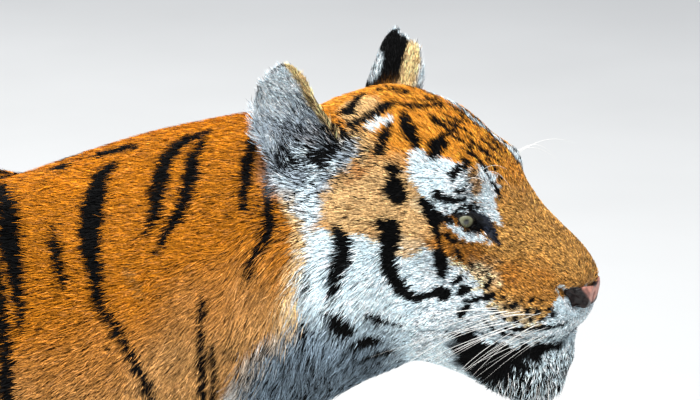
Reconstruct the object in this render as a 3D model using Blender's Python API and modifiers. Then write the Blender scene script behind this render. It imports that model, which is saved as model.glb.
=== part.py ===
"""A Bengal tiger standing on all fours, life size, as a natural history museum shows one.

Frame: +X is the way the body points, +Y its left side, +Z up, in metres. The four soles lie in
the plane z = 0, and the origin is under the middle of the whole animal. Sizes are out to the
tips of the coat.

The body is built as a sculptor builds one: masses of muscle and coat are laid over a pose,
fused into one form with softened creases, reduced to a light mesh, and parted with thin cuts
into the pieces that a person would name.
"""

import math

import bmesh
import bpy
import numpy as np
from mathutils import Matrix, Vector

SIDES = {"left": 1, "right": -1}
GAP = 0.0006  # width of the cuts between neighbours

# Where the head is and how it is held. Its own frame has +X out of the nose, +Y to its left and
# z = 0 at the level of the eyes.
HEAD_ORIGIN = Vector((0.868, -0.094, 0.890))  # midway between the eyes
HEAD_YAW = math.radians(-20)  # turned to the animal's right
HEAD_PITCH = math.radians(12)  # muzzle lowered
HEAD_TURN = Matrix.Rotation(HEAD_YAW, 4, "Z") @ Matrix.Rotation(HEAD_PITCH, 4, "Y")
HEAD = Matrix.Translation(HEAD_ORIGIN) @ HEAD_TURN

# How the creases between fused masses are softened: grid size, fillet radius and smoothing turns.
BODY_FUSE = {"voxel": 0.010, "fillet": 0.024, "turns": 6, "triangles": 3200}
HEAD_FUSE = {"voxel": 0.0055, "fillet": 0.015, "turns": 6, "triangles": 1830}

# Trunk, along X: x, height of its axis, half width, rise to the back, drop to the belly.
TRUNK = (
    (-0.700, 0.715, 0.062, 0.055, 0.080),
    (-0.650, 0.705, 0.120, 0.125, 0.140),
    (-0.500, 0.690, 0.158, 0.182, 0.195),
    (-0.300, 0.670, 0.163, 0.196, 0.215),
    (-0.060, 0.650, 0.180, 0.205, 0.232),
    (0.160, 0.650, 0.182, 0.218, 0.220),
    (0.330, 0.665, 0.168, 0.221, 0.215),
    (0.460, 0.680, 0.145, 0.210, 0.205),
    (0.560, 0.695, 0.095, 0.120, 0.130),
)
# Neck, from chest to skull: x, y, z, half width, rise, drop.
NECK = (
    (0.340, 0.000, 0.690, 0.150, 0.186, 0.190),
    (0.460, -0.004, 0.745, 0.142, 0.180, 0.200),
    (0.570, -0.018, 0.795, 0.130, 0.170, 0.190),
    (0.660, -0.038, 0.835, 0.118, 0.152, 0.180),
    (0.750, -0.062, 0.862, 0.098, 0.126, 0.162),
)
# Foreleg, downwards: x, y from the middle, z, half width, depth in front, depth behind.
FORELEG = (
    (0.325, 0.070, 0.850, 0.024, 0.040, 0.050),
    (0.345, 0.098, 0.780, 0.050, 0.095, 0.095),
    (0.375, 0.118, 0.670, 0.068, 0.126, 0.122),
    (0.385, 0.128, 0.560, 0.072, 0.106, 0.112),
    (0.385, 0.130, 0.460, 0.065, 0.076, 0.086),
    (0.395, 0.128, 0.350, 0.057, 0.061, 0.063),
    (0.405, 0.125, 0.240, 0.052, 0.051, 0.051),
    (0.410, 0.123, 0.160, 0.053, 0.049, 0.054),
    (0.425, 0.122, 0.080, 0.054, 0.052, 0.057),
)
# Hind leg, downwards, in the same terms.
HINDLEG = (
    (-0.500, 0.070, 0.800, 0.050, 0.090, 0.110),
    (-0.500, 0.094, 0.690, 0.076, 0.150, 0.160),
    (-0.480, 0.108, 0.570, 0.078, 0.150, 0.168),
    (-0.485, 0.118, 0.470, 0.066, 0.114, 0.128),
    (-0.550, 0.122, 0.380, 0.053, 0.080, 0.082),
    (-0.640, 0.122, 0.300, 0.043, 0.054, 0.054),
    (-0.672, 0.122, 0.225, 0.040, 0.046, 0.044),
    (-0.664, 0.122, 0.150, 0.042, 0.042, 0.042),
    (-0.645, 0.122, 0.080, 0.048, 0.048, 0.046),
)
# How far each paw stands ahead of its leg's plain stance, and how soon the leg leans.
STRIDE = {
    "foreleg_left": -0.060,
    "foreleg_right": 0.070,
    "hindleg_left": 0.080,
    "hindleg_right": -0.060,
}
LEAN_POWER = 0.8
# Tail, from rump to tip: x, y, z, radius.
TAIL = (
    (-0.640, 0.000, 0.790, 0.052),
    (-0.730, 0.004, 0.740, 0.046),
    (-0.782, 0.007, 0.687, 0.041),
    (-0.820, 0.010, 0.630, 0.038),
    (-0.865, 0.018, 0.520, 0.034),
    (-0.905, 0.028, 0.400, 0.032),
    (-0.955, 0.040, 0.290, 0.031),
    (-1.035, 0.052, 0.205, 0.031),
    (-1.135, 0.060, 0.175, 0.030),
    (-1.225, 0.062, 0.200, 0.027),
    (-1.285, 0.060, 0.245, 0.017),
)
# Masses on both sides of the body: centre, half sizes, tilt about the side axis in degrees.
BODY_PAIRS = (
    ((0.270, 0.078, 0.795), (0.115, 0.048, 0.082), -20),  # shoulder blade
    ((0.300, 0.125, 0.600), (0.110, 0.055, 0.090), 25),  # back of the upper arm
    ((0.520, 0.075, 0.660), (0.060, 0.065, 0.090), 0),  # breast
    ((-0.585, 0.085, 0.700), (0.105, 0.068, 0.105), 0),  # buttock
)
BRISKET = ((0.340, 0, 0.520), (0.180, 0.105, 0.090))
# Paws: length, width and height, then each toe's place across and its reach.
PAWS = {"foreleg": (0.165, 0.135, 0.088), "hindleg": (0.155, 0.112, 0.080)}
# The pad and the toes as shares of a paw's length, width and height: how far the pad's middle
# lies ahead of the heel, then middles and half sizes. Each toe's place is given as its share of
# the half width and of its reach ahead.
PAD_AHEAD = 0.18
PAD_MIDDLE = 0.46
PAD_HALF_SIZES = (0.48, 0.46, 0.58)
TOES = ((-0.66, 0.80), (-0.24, 1.0), (0.24, 1.0), (0.66, 0.80))
TOE_AHEAD = 0.30
TOE_REACH = 0.30
TOE_MIDDLE = 0.34
TOE_HALF_SIZES = (0.27, 0.155, 0.42)
TOE_TILT = 8  # degrees
PAW_TOP = 0.125  # height of the cut between leg and paw

# Skull with muzzle, in the head's frame: x, height of the widest level, half width, rise, drop.
SKULL = (
    (-0.205, -0.020, 0.080, 0.080, 0.110),
    (-0.150, -0.010, 0.104, 0.104, 0.130),
    (-0.100, -0.010, 0.106, 0.110, 0.130),
    (-0.050, -0.012, 0.092, 0.108, 0.118),
    (-0.015, -0.022, 0.070, 0.105, 0.096),
    (0.015, -0.036, 0.057, 0.098, 0.078),
    (0.045, -0.050, 0.050, 0.088, 0.064),
    (0.080, -0.058, 0.046, 0.072, 0.054),
    (0.112, -0.058, 0.042, 0.056, 0.044),
    (0.134, -0.056, 0.034, 0.036, 0.034),
    (0.145, -0.054, 0.018, 0.018, 0.020),
)
# Lower jaw with chin, in the same terms.
JAW = (
    (-0.125, -0.120, 0.085, 0.060, 0.116),
    (-0.060, -0.130, 0.074, 0.055, 0.066),
    (0.000, -0.136, 0.057, 0.045, 0.056),
    (0.055, -0.140, 0.045, 0.040, 0.053),
    (0.100, -0.140, 0.038, 0.036, 0.051),
    (0.126, -0.140, 0.029, 0.030, 0.040),
    (0.139, -0.142, 0.014, 0.016, 0.018),
)
# Masses on both sides of the head, in its frame: centre and half sizes.
HEAD_PAIRS = (
    ((-0.012, 0.040, 0.046), (0.032, 0.028, 0.020)),  # brow
    ((-0.050, 0.060, -0.030), (0.062, 0.034, 0.045)),  # cheekbone
    ((-0.040, 0.046, -0.090), (0.088, 0.038, 0.066)),  # chewing muscle
    ((0.090, 0.029, -0.074), (0.048, 0.033, 0.042)),  # whisker pad
    ((-0.112, 0.082, -0.075), (0.062, 0.050, 0.095)),  # cheek ruff
    ((-0.112, 0.072, -0.140), (0.050, 0.044, 0.086)),  # lower ruff
)
# Eyes, in the head's frame: left centre, where its lids open, and the opening's half sizes along
# the gaze, across and up.
EYE_RADIUS = 0.0185
EYE_CENTRE = (-0.008, 0.041, -0.001)
EYE_CLEARANCE = 0.0005
GAZE = (0.62, 0.78, 0.06)
LID_OPENING = (0.022, 0.0155, 0.0115)
# Ears, in the head's frame: middle of the left root, then each tip and where each cup opens.
EAR_ROOT = (-0.170, 0.086, 0.008)
EAR_TIPS = {"left": (-0.188, 0.116, 0.126), "right": (-0.213, -0.120, 0.128)}
EAR_FACINGS = {"left": (0.50, 0.86, 0.05), "right": (0.36, -0.92, 0.12)}
EAR_HALF_WIDTH = 0.051
EAR_DEPTHS = (0.050, 0.020)  # of the cup, at the root and the tip
EAR_WALL = 0.013
EAR_WIDEST = 0.5  # share of its length
EAR_ROUNDNESS = 2.5  # power of the superellipse that closes the tip
EAR_TIP_CLOSURE = 1.01  # a little over 1, so that the last section keeps some size
EAR_ROOT_TAPER = 0.32  # how fast the sections narrow from the widest one to the root
EAR_SWEEP = 96  # degrees that a section turns through on each side
EAR_STRIPS = 9  # points across a section
EAR_SECTIONS = 11
EAR_BURIED = -0.1  # share of its length at which the ear starts, inside the head
EAR_THINNEST = 0.35  # share of the wall that is left where the ear is narrowest
EAR_INSET = 0.6  # share of the wall by which the inner face is narrower
EAR_SET_FORWARD = 0.4  # share of the cup's depth by which the section lies ahead of its stem
# The near edge of each ear slants back to the tip, so its half width shrinks by this share
# between two places along the stem.
EAR_SLANT = 0.54
EAR_SLANT_FROM = 0.18
EAR_SLANT_TO = 0.62
EAR_CLEARANCE = 0.0015  # from head and neck

# Cuts across the head, in its frame: half width, then from one x, z to another.
HEAD_CUTS = {
    "mouth": (0.12, (0.175, -0.084), (-0.001, -0.140)),
    "jaw": (0.12, (0.002, -0.134), (-0.055, -0.300)),
    "nose_back": (0.033, (0.112, 0.030), (0.122, -0.068)),
    "nose_under": (0.033, (0.120, -0.066), (0.175, -0.066)),
}
# The sides of the nose leather: three corners of the left cut.
NOSE_SIDE = ((0.110, 0.0320, 0.030), (0.110, 0.0320, -0.068), (0.175, 0.0320, -0.068))
# Where the head ends and the neck begins, and how far the cut reaches, in the head's frame.
NECK_CUT = Matrix.Translation((-0.225, 0, -0.05)) @ Matrix.Rotation(math.radians(-10), 4, "Y")
NECK_CUT_REACH = 0.30
GROUND_BOX = ((-2.0, -1.0, -1.0), (2.0, 1.0, 0.0))  # takes off what lies under the soles
# Slanting cuts over the left legs, and the cut over the chest: three corners of each.
LEG_CUTS = {
    "foreleg": ((0.15, 0.030, 0.380), (0.60, 0.030, 0.380), (0.60, 0.240, 0.620)),
    "hindleg": ((-0.78, 0.020, 0.425), (-0.29, 0.020, 0.365), (-0.29, 0.240, 0.640)),
}
CHEST_CUT = ((0.40, -0.25, 1.0), (0.40, 0.25, 1.0), (0.64, 0.25, 0.45))
TAIL_CUTS = (2, 4, 7)  # at these rows of TAIL
TAIL_CUT_HALF_SIZE = 0.056
PAW_CUT_HALF_SIZE = 0.09
LEG_CUT_LEAN = 0.4  # share of the stride by which the cut over a leg moves

# The pieces: about where the middle of each lies, by which it is named, and its colour as sRGB.
ORANGE = (0.80, 0.47, 0.17)
BUFF = (0.86, 0.71, 0.50)
WHITE = (0.90, 0.88, 0.84)
PINK = (0.72, 0.42, 0.37)
GREEN = (0.60, 0.62, 0.40)
BODY_PIECES = {
    "trunk": ((-0.10, 0.0, 0.66), ORANGE),
    "neck": ((0.58, -0.02, 0.78), ORANGE),
    "tail_base": ((-0.80, 0.01, 0.65), ORANGE),
    "tail_middle": ((-0.92, 0.03, 0.36), ORANGE),
    "tail_tip": ((-1.16, 0.06, 0.20), BUFF),
    "foreleg_left": ((0.35, 0.13, 0.33), ORANGE),
    "foreleg_right": ((0.42, -0.13, 0.33), ORANGE),
    "hindleg_left": ((-0.52, 0.13, 0.37), ORANGE),
    "hindleg_right": ((-0.57, -0.13, 0.37), ORANGE),
    "forepaw_left": ((0.40, 0.12, 0.05), BUFF),
    "forepaw_right": ((0.51, -0.12, 0.05), BUFF),
    "hindfoot_left": ((-0.54, 0.12, 0.05), BUFF),
    "hindfoot_right": ((-0.66, -0.12, 0.05), BUFF),
}
HEAD_PIECES = {
    "head": ((-0.06, 0.0, -0.02), ORANGE),
    "jaw": ((0.06, 0.0, -0.16), WHITE),
    "nose": ((0.14, 0.0, -0.04), PINK),
}
COAT_ROUGHNESS = 0.85
MOIST_ROUGHNESS = 0.25


def collection(name, hidden=False):
    """A collection linked to the scene; helpers go in one that isn't rendered."""
    made = bpy.data.collections.new(name)
    bpy.context.scene.collection.children.link(made)
    made.hide_render = hidden
    return made


def linear(colour):
    """A linear colour from sRGB values between 0 and 1."""
    return [c / 12.92 if c <= 0.04045 else ((c + 0.055) / 1.055) ** 2.4 for c in colour]


def finish(obj, colour, roughness):
    """Shades the object smooth and gives it a Principled BSDF of its own."""
    made = bpy.data.materials.new(f"{obj.name}_surface")
    made.use_nodes = True
    shader = made.node_tree.nodes["Principled BSDF"]
    shader.inputs["Base Color"].default_value = (*linear(colour), 1)
    shader.inputs["Roughness"].default_value = roughness
    obj.data.materials.clear()
    obj.data.materials.append(made)
    obj.data.shade_smooth()


def mirrored(point, side):
    """The point, or on the right side its mirror image."""
    return (point[0], side * point[1], point[2])


def midline(stations):
    """Full stations from stations that leave out y, which is 0."""
    return [(x, 0.0, *rest) for x, *rest in stations]


def eased(stations, steps=4):
    """Rows between the stations, on a Catmull-Rom curve through them."""
    rows = np.array(stations, float)
    ends = np.vstack([2 * rows[0] - rows[1], rows, 2 * rows[-1] - rows[-2]])
    t = np.linspace(0, 1, steps, endpoint=False)[:, None, None]
    a, b, c, d = (ends[i : len(ends) - 3 + i] for i in range(4))
    square = (2 * a - 5 * b + 4 * c - d) * t**2
    cubic = (3 * b - a - 3 * c + d) * t**3
    curve = 0.5 * (2 * b + (c - a) * t + square + cubic)
    return np.vstack([curve.transpose(1, 0, 2).reshape(-1, rows.shape[1]), rows[-1]])


def grid_faces(rings, around):
    """Quads of a tube of rings, with one face over each end."""
    index = np.arange(rings * around).reshape(rings, around)
    ahead = np.roll(index, -1, axis=1)
    sides = np.stack([index[:-1], ahead[:-1], ahead[1:], index[1:]], -1).reshape(-1, 4)
    return sides.tolist() + [index[0][::-1].tolist(), index[-1].tolist()]


def add_surface(bm, points, faces, frame=None):
    """Adds a closed surface from its points and faces, facing out."""
    corners = [bm.verts.new(frame @ Vector(p) if frame else Vector(p)) for p in points]
    made = [bm.faces.new([corners[i] for i in face]) for face in faces]
    bmesh.ops.recalc_face_normals(bm, faces=made)


def add_loft(bm, stations, frame=None, around=24, square=2.0, upright=False):
    """Adds a skin over egg-shaped sections, upright or square to their path.

    A station holds x, y, z, half width, rise and drop. A section is a superellipse, whose power
    square is 2 for an oval and more for a boxier form.
    """
    rows = eased(stations)
    path = rows[:, :3]
    tangent = np.gradient(path, axis=0) * ((1, 0, 0) if upright else (1, 1, 1))
    tangent /= np.linalg.norm(tangent, axis=1, keepdims=True)
    across = np.array((0, 1, 0)) - tangent[:, 1:2] * tangent
    across /= np.linalg.norm(across, axis=1, keepdims=True)
    up = np.cross(tangent, across)
    turn = np.linspace(0, 2 * np.pi, around, endpoint=False)
    sideways, upwards = (np.sign(f) * np.abs(f) ** (2 / square) for f in (np.cos(turn), np.sin(turn)))
    height = np.where(upwards > 0, rows[:, 4:5], rows[:, 5:6]) * upwards
    width = rows[:, 3:4] * sideways
    points = path[:, None] + width[..., None] * across[:, None] + height[..., None] * up[:, None]
    add_surface(bm, points.reshape(-1, 3).tolist(), grid_faces(len(rows), around), frame)


def add_ball(bm, centre, half_sizes, tilt=0.0, frame=None):
    """Adds an ellipsoid, tilted about the side axis by an angle in degrees."""
    place = Matrix.Translation(centre) @ Matrix.Rotation(math.radians(tilt), 4, "Y")
    place = place @ Matrix.Diagonal((*half_sizes, 1))
    bmesh.ops.create_icosphere(bm, subdivisions=3, radius=1, matrix=frame @ place if frame else place)


def leg_stations(leg, name):
    """A leg's stations on one side, leaning so that its paw stands ahead by the stride."""
    stations = {"foreleg": FORELEG, "hindleg": HINDLEG}[leg]
    stride = STRIDE[f"{leg}_{name}"]
    top = stations[0][2]
    rows = []
    for x, y, z, *sizes in stations:
        lean = stride * (1 - z / top) ** LEAN_POWER
        rows.append((x + lean, SIDES[name] * y, z, *sizes))
    return rows


def add_paw(bm, heel_x, y, length, width, height):
    """A paw on the ground: a low pad, and four toes ahead of it."""
    size = np.array((length, width, height))
    pad = (heel_x + PAD_AHEAD * length, y, PAD_MIDDLE * height)
    add_ball(bm, pad, (PAD_HALF_SIZES * size).tolist())
    for share, reach in TOES:
        ahead = (TOE_AHEAD + TOE_REACH * reach) * length
        toe = (heel_x + ahead, y + share * width / 2, TOE_MIDDLE * height)
        add_ball(bm, toe, (TOE_HALF_SIZES * size).tolist(), TOE_TILT)


def body_masses():
    """Trunk, neck, legs, paws and tail as one mesh of overlapping masses."""
    bm = bmesh.new()
    add_loft(bm, midline(TRUNK), upright=True)
    add_loft(bm, NECK)
    add_loft(bm, [(x, y, z, r, r, r) for x, y, z, r in TAIL], around=14)
    add_ball(bm, *BRISKET)
    for name, side in SIDES.items():
        for leg, paw in PAWS.items():
            stations = leg_stations(leg, name)
            add_loft(bm, stations, around=18)
            add_paw(bm, *stations[-1][:2], *paw)
        for centre, half_sizes, tilt in BODY_PAIRS:
            add_ball(bm, mirrored(centre, side), half_sizes, tilt)
    return bm


def head_masses():
    """Skull, muzzle, jaw, cheeks and the neck as one mesh of overlapping masses."""
    bm = bmesh.new()
    add_loft(bm, midline(SKULL), HEAD, around=28, square=2.2, upright=True)
    add_loft(bm, midline(JAW), HEAD, upright=True)
    add_loft(bm, NECK[1:])
    for centre, half_sizes in HEAD_PAIRS:
        for side in SIDES.values():
            add_ball(bm, mirrored(centre, side), half_sizes, frame=HEAD)
    return bm


def ear_profile(share):
    """The swell of an ear's section at a share of its length, and the share left of its near edge."""
    beyond = (share - EAR_WIDEST) / (1 - EAR_WIDEST)
    if beyond > 0:
        swell = (EAR_TIP_CLOSURE - beyond**EAR_ROUNDNESS) ** 0.5
    else:
        swell = 1 + EAR_ROOT_TAPER * beyond
    slant = (share - EAR_SLANT_FROM) / (EAR_SLANT_TO - EAR_SLANT_FROM)
    return swell, 1 - EAR_SLANT * min(max(slant, 0), 1)


def ear_shape(name):
    """A cupped ear: crescent sections that widen, then close in a tip, with one slanting edge."""
    root = Vector(mirrored(EAR_ROOT, SIDES[name]))
    stem = Vector(EAR_TIPS[name]) - root
    axis = stem.normalized()
    facing = Vector(EAR_FACINGS[name])
    facing = (facing - facing.dot(axis) * axis).normalized()
    across = axis.cross(facing)
    turn = np.radians(np.linspace(-EAR_SWEEP, EAR_SWEEP, EAR_STRIPS))
    points = []
    for share in np.linspace(EAR_BURIED, 1, EAR_SECTIONS).tolist():
        swell, near_edge = ear_profile(share)
        depth = swell * (EAR_DEPTHS[0] + (EAR_DEPTHS[1] - EAR_DEPTHS[0]) * share)
        wall = EAR_WALL * (EAR_THINNEST + (1 - EAR_THINNEST) * swell)
        half_width = EAR_HALF_WIDTH * swell
        inner_half_width = half_width - EAR_INSET * wall
        reach = np.sin(turn) * np.where(turn > 0, near_edge, 1)
        outer = np.stack([-depth * np.cos(turn), half_width * reach], 1)
        inner = np.stack([(wall - depth) * np.cos(turn), inner_half_width * reach], 1)
        start = root + stem * share + facing * EAR_SET_FORWARD * depth
        for ahead, sideways in np.vstack([outer, inner[::-1]]).tolist():
            points.append(start + facing * ahead + across * sideways)
    bm = bmesh.new()
    add_surface(bm, points, grid_faces(EAR_SECTIONS, 2 * EAR_STRIPS), HEAD)
    return bm


def eye_ball(name, radius):
    """An eye, or the round part of its socket."""
    bm = bmesh.new()
    add_ball(bm, mirrored(EYE_CENTRE, SIDES[name]), (radius, radius, radius), frame=HEAD)
    return bm


def lid_opening(name):
    """The opening between the lids, in front of the eye."""
    gaze = Vector(mirrored(GAZE, SIDES[name])).normalized()
    front = Vector(mirrored(EYE_CENTRE, SIDES[name])) + gaze * EYE_RADIUS
    bm = bmesh.new()
    turned = HEAD @ Matrix.Translation(front) @ gaze.to_track_quat("X", "Z").to_matrix().to_4x4()
    add_ball(bm, (0, 0, 0), LID_OPENING, frame=turned)
    return bm


def mesh_object(name, bm, group):
    """An object in a collection, from a mesh being edited. A cutter is drawn as wires."""
    mesh = bpy.data.meshes.new(name)
    bm.to_mesh(mesh)
    bm.free()
    made = bpy.data.objects.new(name, mesh)
    group.objects.link(made)
    if group.hide_render:
        made.hide_render = True
        made.display_type = "WIRE"
    return made


def modify(obj, kind, **settings):
    """Adds a modifier with its settings."""
    made = obj.modifiers.new(kind.title(), kind)
    for key, value in settings.items():
        setattr(made, key, value)


def make_real(obj):
    """Gives the object the mesh that its modifiers make."""
    graph = bpy.context.evaluated_depsgraph_get()
    mesh = bpy.data.meshes.new_from_object(obj.evaluated_get(graph), depsgraph=graph)
    obj.modifiers.clear()
    obj.data = mesh


def fuse(obj, voxel, fillet, turns, triangles):
    """One closed skin over the masses: grown, fused and shrunk again, so that creases fill in."""
    modify(obj, "REMESH", mode="VOXEL", voxel_size=voxel)
    modify(obj, "DISPLACE", strength=fillet, mid_level=0)
    modify(obj, "REMESH", mode="VOXEL", voxel_size=voxel)
    modify(obj, "DISPLACE", strength=-fillet, mid_level=0)
    modify(obj, "SMOOTH", factor=0.5, iterations=turns)
    make_real(obj)
    modify(obj, "DECIMATE", ratio=triangles / (2 * len(obj.data.polygons)))
    make_real(obj)


def box_cutter(name, frame, corner, opposite, group):
    """A box between two corners in a frame."""
    low, high = Vector(corner), Vector(opposite)
    bm = bmesh.new()
    size = Matrix.Diagonal((*(high - low), 1))
    bmesh.ops.create_cube(bm, size=1, matrix=frame @ Matrix.Translation((low + high) / 2) @ size)
    return mesh_object(name, bm, group)


def knife(name, corners, group, frame=None):
    """A thin plate on three corners of a parallelogram, as thick as the gap that it cuts."""
    ring = [frame @ Vector(p) if frame else Vector(p) for p in corners]
    ring.append(ring[0] + ring[2] - ring[1])
    half = (ring[1] - ring[0]).cross(ring[2] - ring[1]).normalized() * GAP / 2
    bm = bmesh.new()
    add_surface(bm, [p - half for p in ring] + [p + half for p in ring], grid_faces(2, 4))
    mesh_object(name, bm, group)


def square_knife(name, centre, normal, half, group):
    """A square plate across a limb."""
    turn = Vector(normal).to_track_quat("Z", "Y")
    spots = [(-half, -half, 0), (half, -half, 0), (half, half, 0)]
    knife(name, [Vector(centre) + turn @ Vector(spot) for spot in spots], group)


def body_knives(group):
    """Plates that part the neck, the legs, the paws and the tail from the trunk."""
    knife("knife_chest", CHEST_CUT, group)
    for row in TAIL_CUTS:
        along = Vector(TAIL[row + 1][:3]) - Vector(TAIL[row - 1][:3])
        square_knife(f"knife_tail_{row}", TAIL[row][:3], along, TAIL_CUT_HALF_SIZE, group)
    for name, side in SIDES.items():
        for leg, corners in LEG_CUTS.items():
            ahead = LEG_CUT_LEAN * STRIDE[f"{leg}_{name}"]
            moved = [mirrored((x + ahead, y, z), side) for x, y, z in corners]
            knife(f"knife_{leg}_{name}", moved, group)
            x, y = leg_stations(leg, name)[-2][:2]
            spot = (x, y, PAW_TOP)
            square_knife(f"knife_paw_{leg}_{name}", spot, (0, 0, 1), PAW_CUT_HALF_SIZE, group)


def head_knives(group):
    """Plates that part the lower jaw and the nose leather from the head, and the eye sockets."""
    for name, (half, (x, z), (end_x, end_z)) in HEAD_CUTS.items():
        knife(f"knife_{name}", [(x, -half, z), (x, half, z), (end_x, half, end_z)], group, HEAD)
    for name, side in SIDES.items():
        knife(f"knife_nose_{name}", [mirrored(corner, side) for corner in NOSE_SIDE], group, HEAD)
        mesh_object(f"socket_{name}", eye_ball(name, EYE_RADIUS + EYE_CLEARANCE), group)
        mesh_object(f"lids_{name}", lid_opening(name), group)


def cut(obj, **operand):
    """Takes one cutter, or a collection of them, from the object."""
    modify(obj, "BOOLEAN", operation="DIFFERENCE", solver="EXACT", **operand)
    make_real(obj)


def part_off(obj, knives, pieces, frame=None):
    """Cuts the object with the knives, and names each loose piece after the nearest middle."""
    cut(obj, operand_type="COLLECTION", collection=knives)
    middles = {name: frame @ Vector(spot) if frame else Vector(spot) for name, (spot, _) in pieces.items()}
    bpy.context.view_layer.objects.active = obj
    obj.select_set(True)
    bpy.ops.mesh.separate(type="LOOSE")
    for piece in bpy.context.selected_objects[:]:
        piece.select_set(False)
        centre = sum((Vector(corner) for corner in piece.bound_box), Vector()) / 8
        piece.name = min(middles, key=lambda name: (centre - middles[name]).length)
        piece.data.name = piece.name
        finish(piece, pieces[piece.name][1], COAT_ROUGHNESS)


def centre_on_origin(group):
    """Parents every piece to an empty that stands the animal over the origin."""
    corners = np.array([corner for obj in group.objects for corner in obj.bound_box])
    middle = (corners.min(axis=0) + corners.max(axis=0)) / 2
    stand = bpy.data.objects.new("stand", None)
    stand.location = (-middle[0], -middle[1], 0)
    for obj in list(group.objects):
        obj.parent = stand
    group.objects.link(stand)


def main():
    for old in list(bpy.data.objects):
        bpy.data.objects.remove(old)
    tiger = collection("bengal_tiger")
    cutters = collection("cutters", hidden=True)
    body_cuts = collection("body_cuts", hidden=True)
    head_cuts = collection("head_cuts", hidden=True)

    body = mesh_object("trunk", body_masses(), tiger)
    head = mesh_object("head", head_masses(), tiger)
    fuse(body, **BODY_FUSE)
    fuse(head, **HEAD_FUSE)

    grown = mesh_object("grown_head", bmesh.new(), cutters)
    grown.data = head.data.copy()
    modify(grown, "DISPLACE", strength=EAR_CLEARANCE, mid_level=0)
    for name in SIDES:
        ear = mesh_object(f"ear_{name}", ear_shape(name), tiger)
        cut(ear, object=grown)
        finish(ear, WHITE, COAT_ROUGHNESS)
        eye = mesh_object(f"eye_{name}", eye_ball(name, EYE_RADIUS), tiger)
        finish(eye, GREEN, MOIST_ROUGHNESS)

    reach = NECK_CUT_REACH
    plane = HEAD @ NECK_CUT
    ahead = ((-GAP / 2, -reach, -reach), (2 * reach, reach, reach))
    behind = ((-3 * reach, -2 * reach, -3 * reach), (GAP / 2, 2 * reach, 3 * reach))
    cut(body, object=box_cutter("ahead_of_neck", plane, *ahead, cutters))
    cut(body, object=box_cutter("ground", Matrix(), *GROUND_BOX, cutters))
    cut(head, object=box_cutter("behind_head", plane, *behind, cutters))
    body_knives(body_cuts)
    head_knives(head_cuts)
    part_off(body, body_cuts, BODY_PIECES)
    part_off(head, head_cuts, HEAD_PIECES, HEAD)
    finish(bpy.data.objects["nose"], PINK, MOIST_ROUGHNESS)
    centre_on_origin(tiger)


main()
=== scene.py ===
"""The looks of a Bengal tiger standing on all fours: skin, coat, eyes, nose and whiskers.

One skin replaces every flesh node, and lies inside them by the coat's depth. The coat over it is
made of small blades of hair, which take their colours from the same markings as the skin. Every
length is in metres unless a name or a table says millimetres.
"""

import math

import bmesh
import bpy
import numpy as np
from mathutils import Matrix, Vector
from mathutils.bvhtree import BVHTree


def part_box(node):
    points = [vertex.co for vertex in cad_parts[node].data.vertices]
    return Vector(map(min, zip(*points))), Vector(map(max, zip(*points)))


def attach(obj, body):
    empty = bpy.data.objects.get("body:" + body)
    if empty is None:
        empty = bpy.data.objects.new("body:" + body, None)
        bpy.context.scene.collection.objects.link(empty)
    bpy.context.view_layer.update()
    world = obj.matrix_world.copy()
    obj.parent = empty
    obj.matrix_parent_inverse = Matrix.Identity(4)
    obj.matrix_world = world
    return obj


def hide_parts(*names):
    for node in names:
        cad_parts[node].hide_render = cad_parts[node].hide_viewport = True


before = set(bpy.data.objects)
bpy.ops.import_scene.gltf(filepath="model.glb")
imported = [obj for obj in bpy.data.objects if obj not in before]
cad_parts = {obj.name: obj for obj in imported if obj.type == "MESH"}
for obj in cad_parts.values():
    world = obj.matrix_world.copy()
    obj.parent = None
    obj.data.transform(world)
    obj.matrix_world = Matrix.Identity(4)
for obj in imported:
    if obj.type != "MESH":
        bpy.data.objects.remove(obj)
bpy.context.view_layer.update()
MM = 0.001

# ---------------------------------------------------------------- the head's own frame
# +X out of the nose, +Y to the animal's left, and the origin midway between the pupils.
HEAD_YAW, HEAD_PITCH = math.radians(-20), math.radians(12)
HEAD_TURN = np.array(Matrix.Rotation(HEAD_YAW, 3, "Z") @ Matrix.Rotation(HEAD_PITCH, 3, "Y"))
EYE_BALL = np.array((-0.008, 0.041, -0.001))  # middle of the left eyeball
EYE_RADIUS = 0.0185
GAZE_WAY = (0.62, 0.78, 0.06)  # the way the left eye looks: ahead, outwards and up
GAZE = np.array(GAZE_WAY) / np.linalg.norm(GAZE_WAY)


def centre_of(node):
    """The middle of a node's box."""
    low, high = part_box(node)
    return np.array((low + high) / 2)


EYES_MIDDLE = (centre_of("eye_left") + centre_of("eye_right")) / 2
HEAD_AT = EYES_MIDDLE - HEAD_TURN @ (EYE_BALL * (1, 0, 1))


def to_head(points):
    """Points of the row frame in the head's frame."""
    return (points - HEAD_AT) @ HEAD_TURN


def from_head(points):
    """Points of the head's frame in the row frame."""
    return np.asarray(points) @ HEAD_TURN.T + HEAD_AT


def both_sides(head_points):
    """Points of the head's frame, each moved to the left half by mirroring."""
    return np.stack([head_points[:, 0], np.abs(head_points[:, 1]), head_points[:, 2]], 1)


def eye_distance(head_points):
    """How far points of the head's frame are from the middle of the nearer eye."""
    return np.minimum(*[np.linalg.norm(head_points - EYE_BALL * (1, side, 1), axis=1) for side in (1, -1)])


# ---------------------------------------------------------------- camera and light

CAMERA_TURN, CAMERA_TILT = math.radians(5), math.radians(15)  # round from the right side, and down
CAMERA_DISTANCE = 4.5
VIEW_WIDTH = 0.761  # what the view spans at the head
AIM_BEHIND, AIM_ABOVE = 0.145, 0.009  # from the head's origin to the middle of the view
SENSOR_WIDTH = 36  # mm


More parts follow.
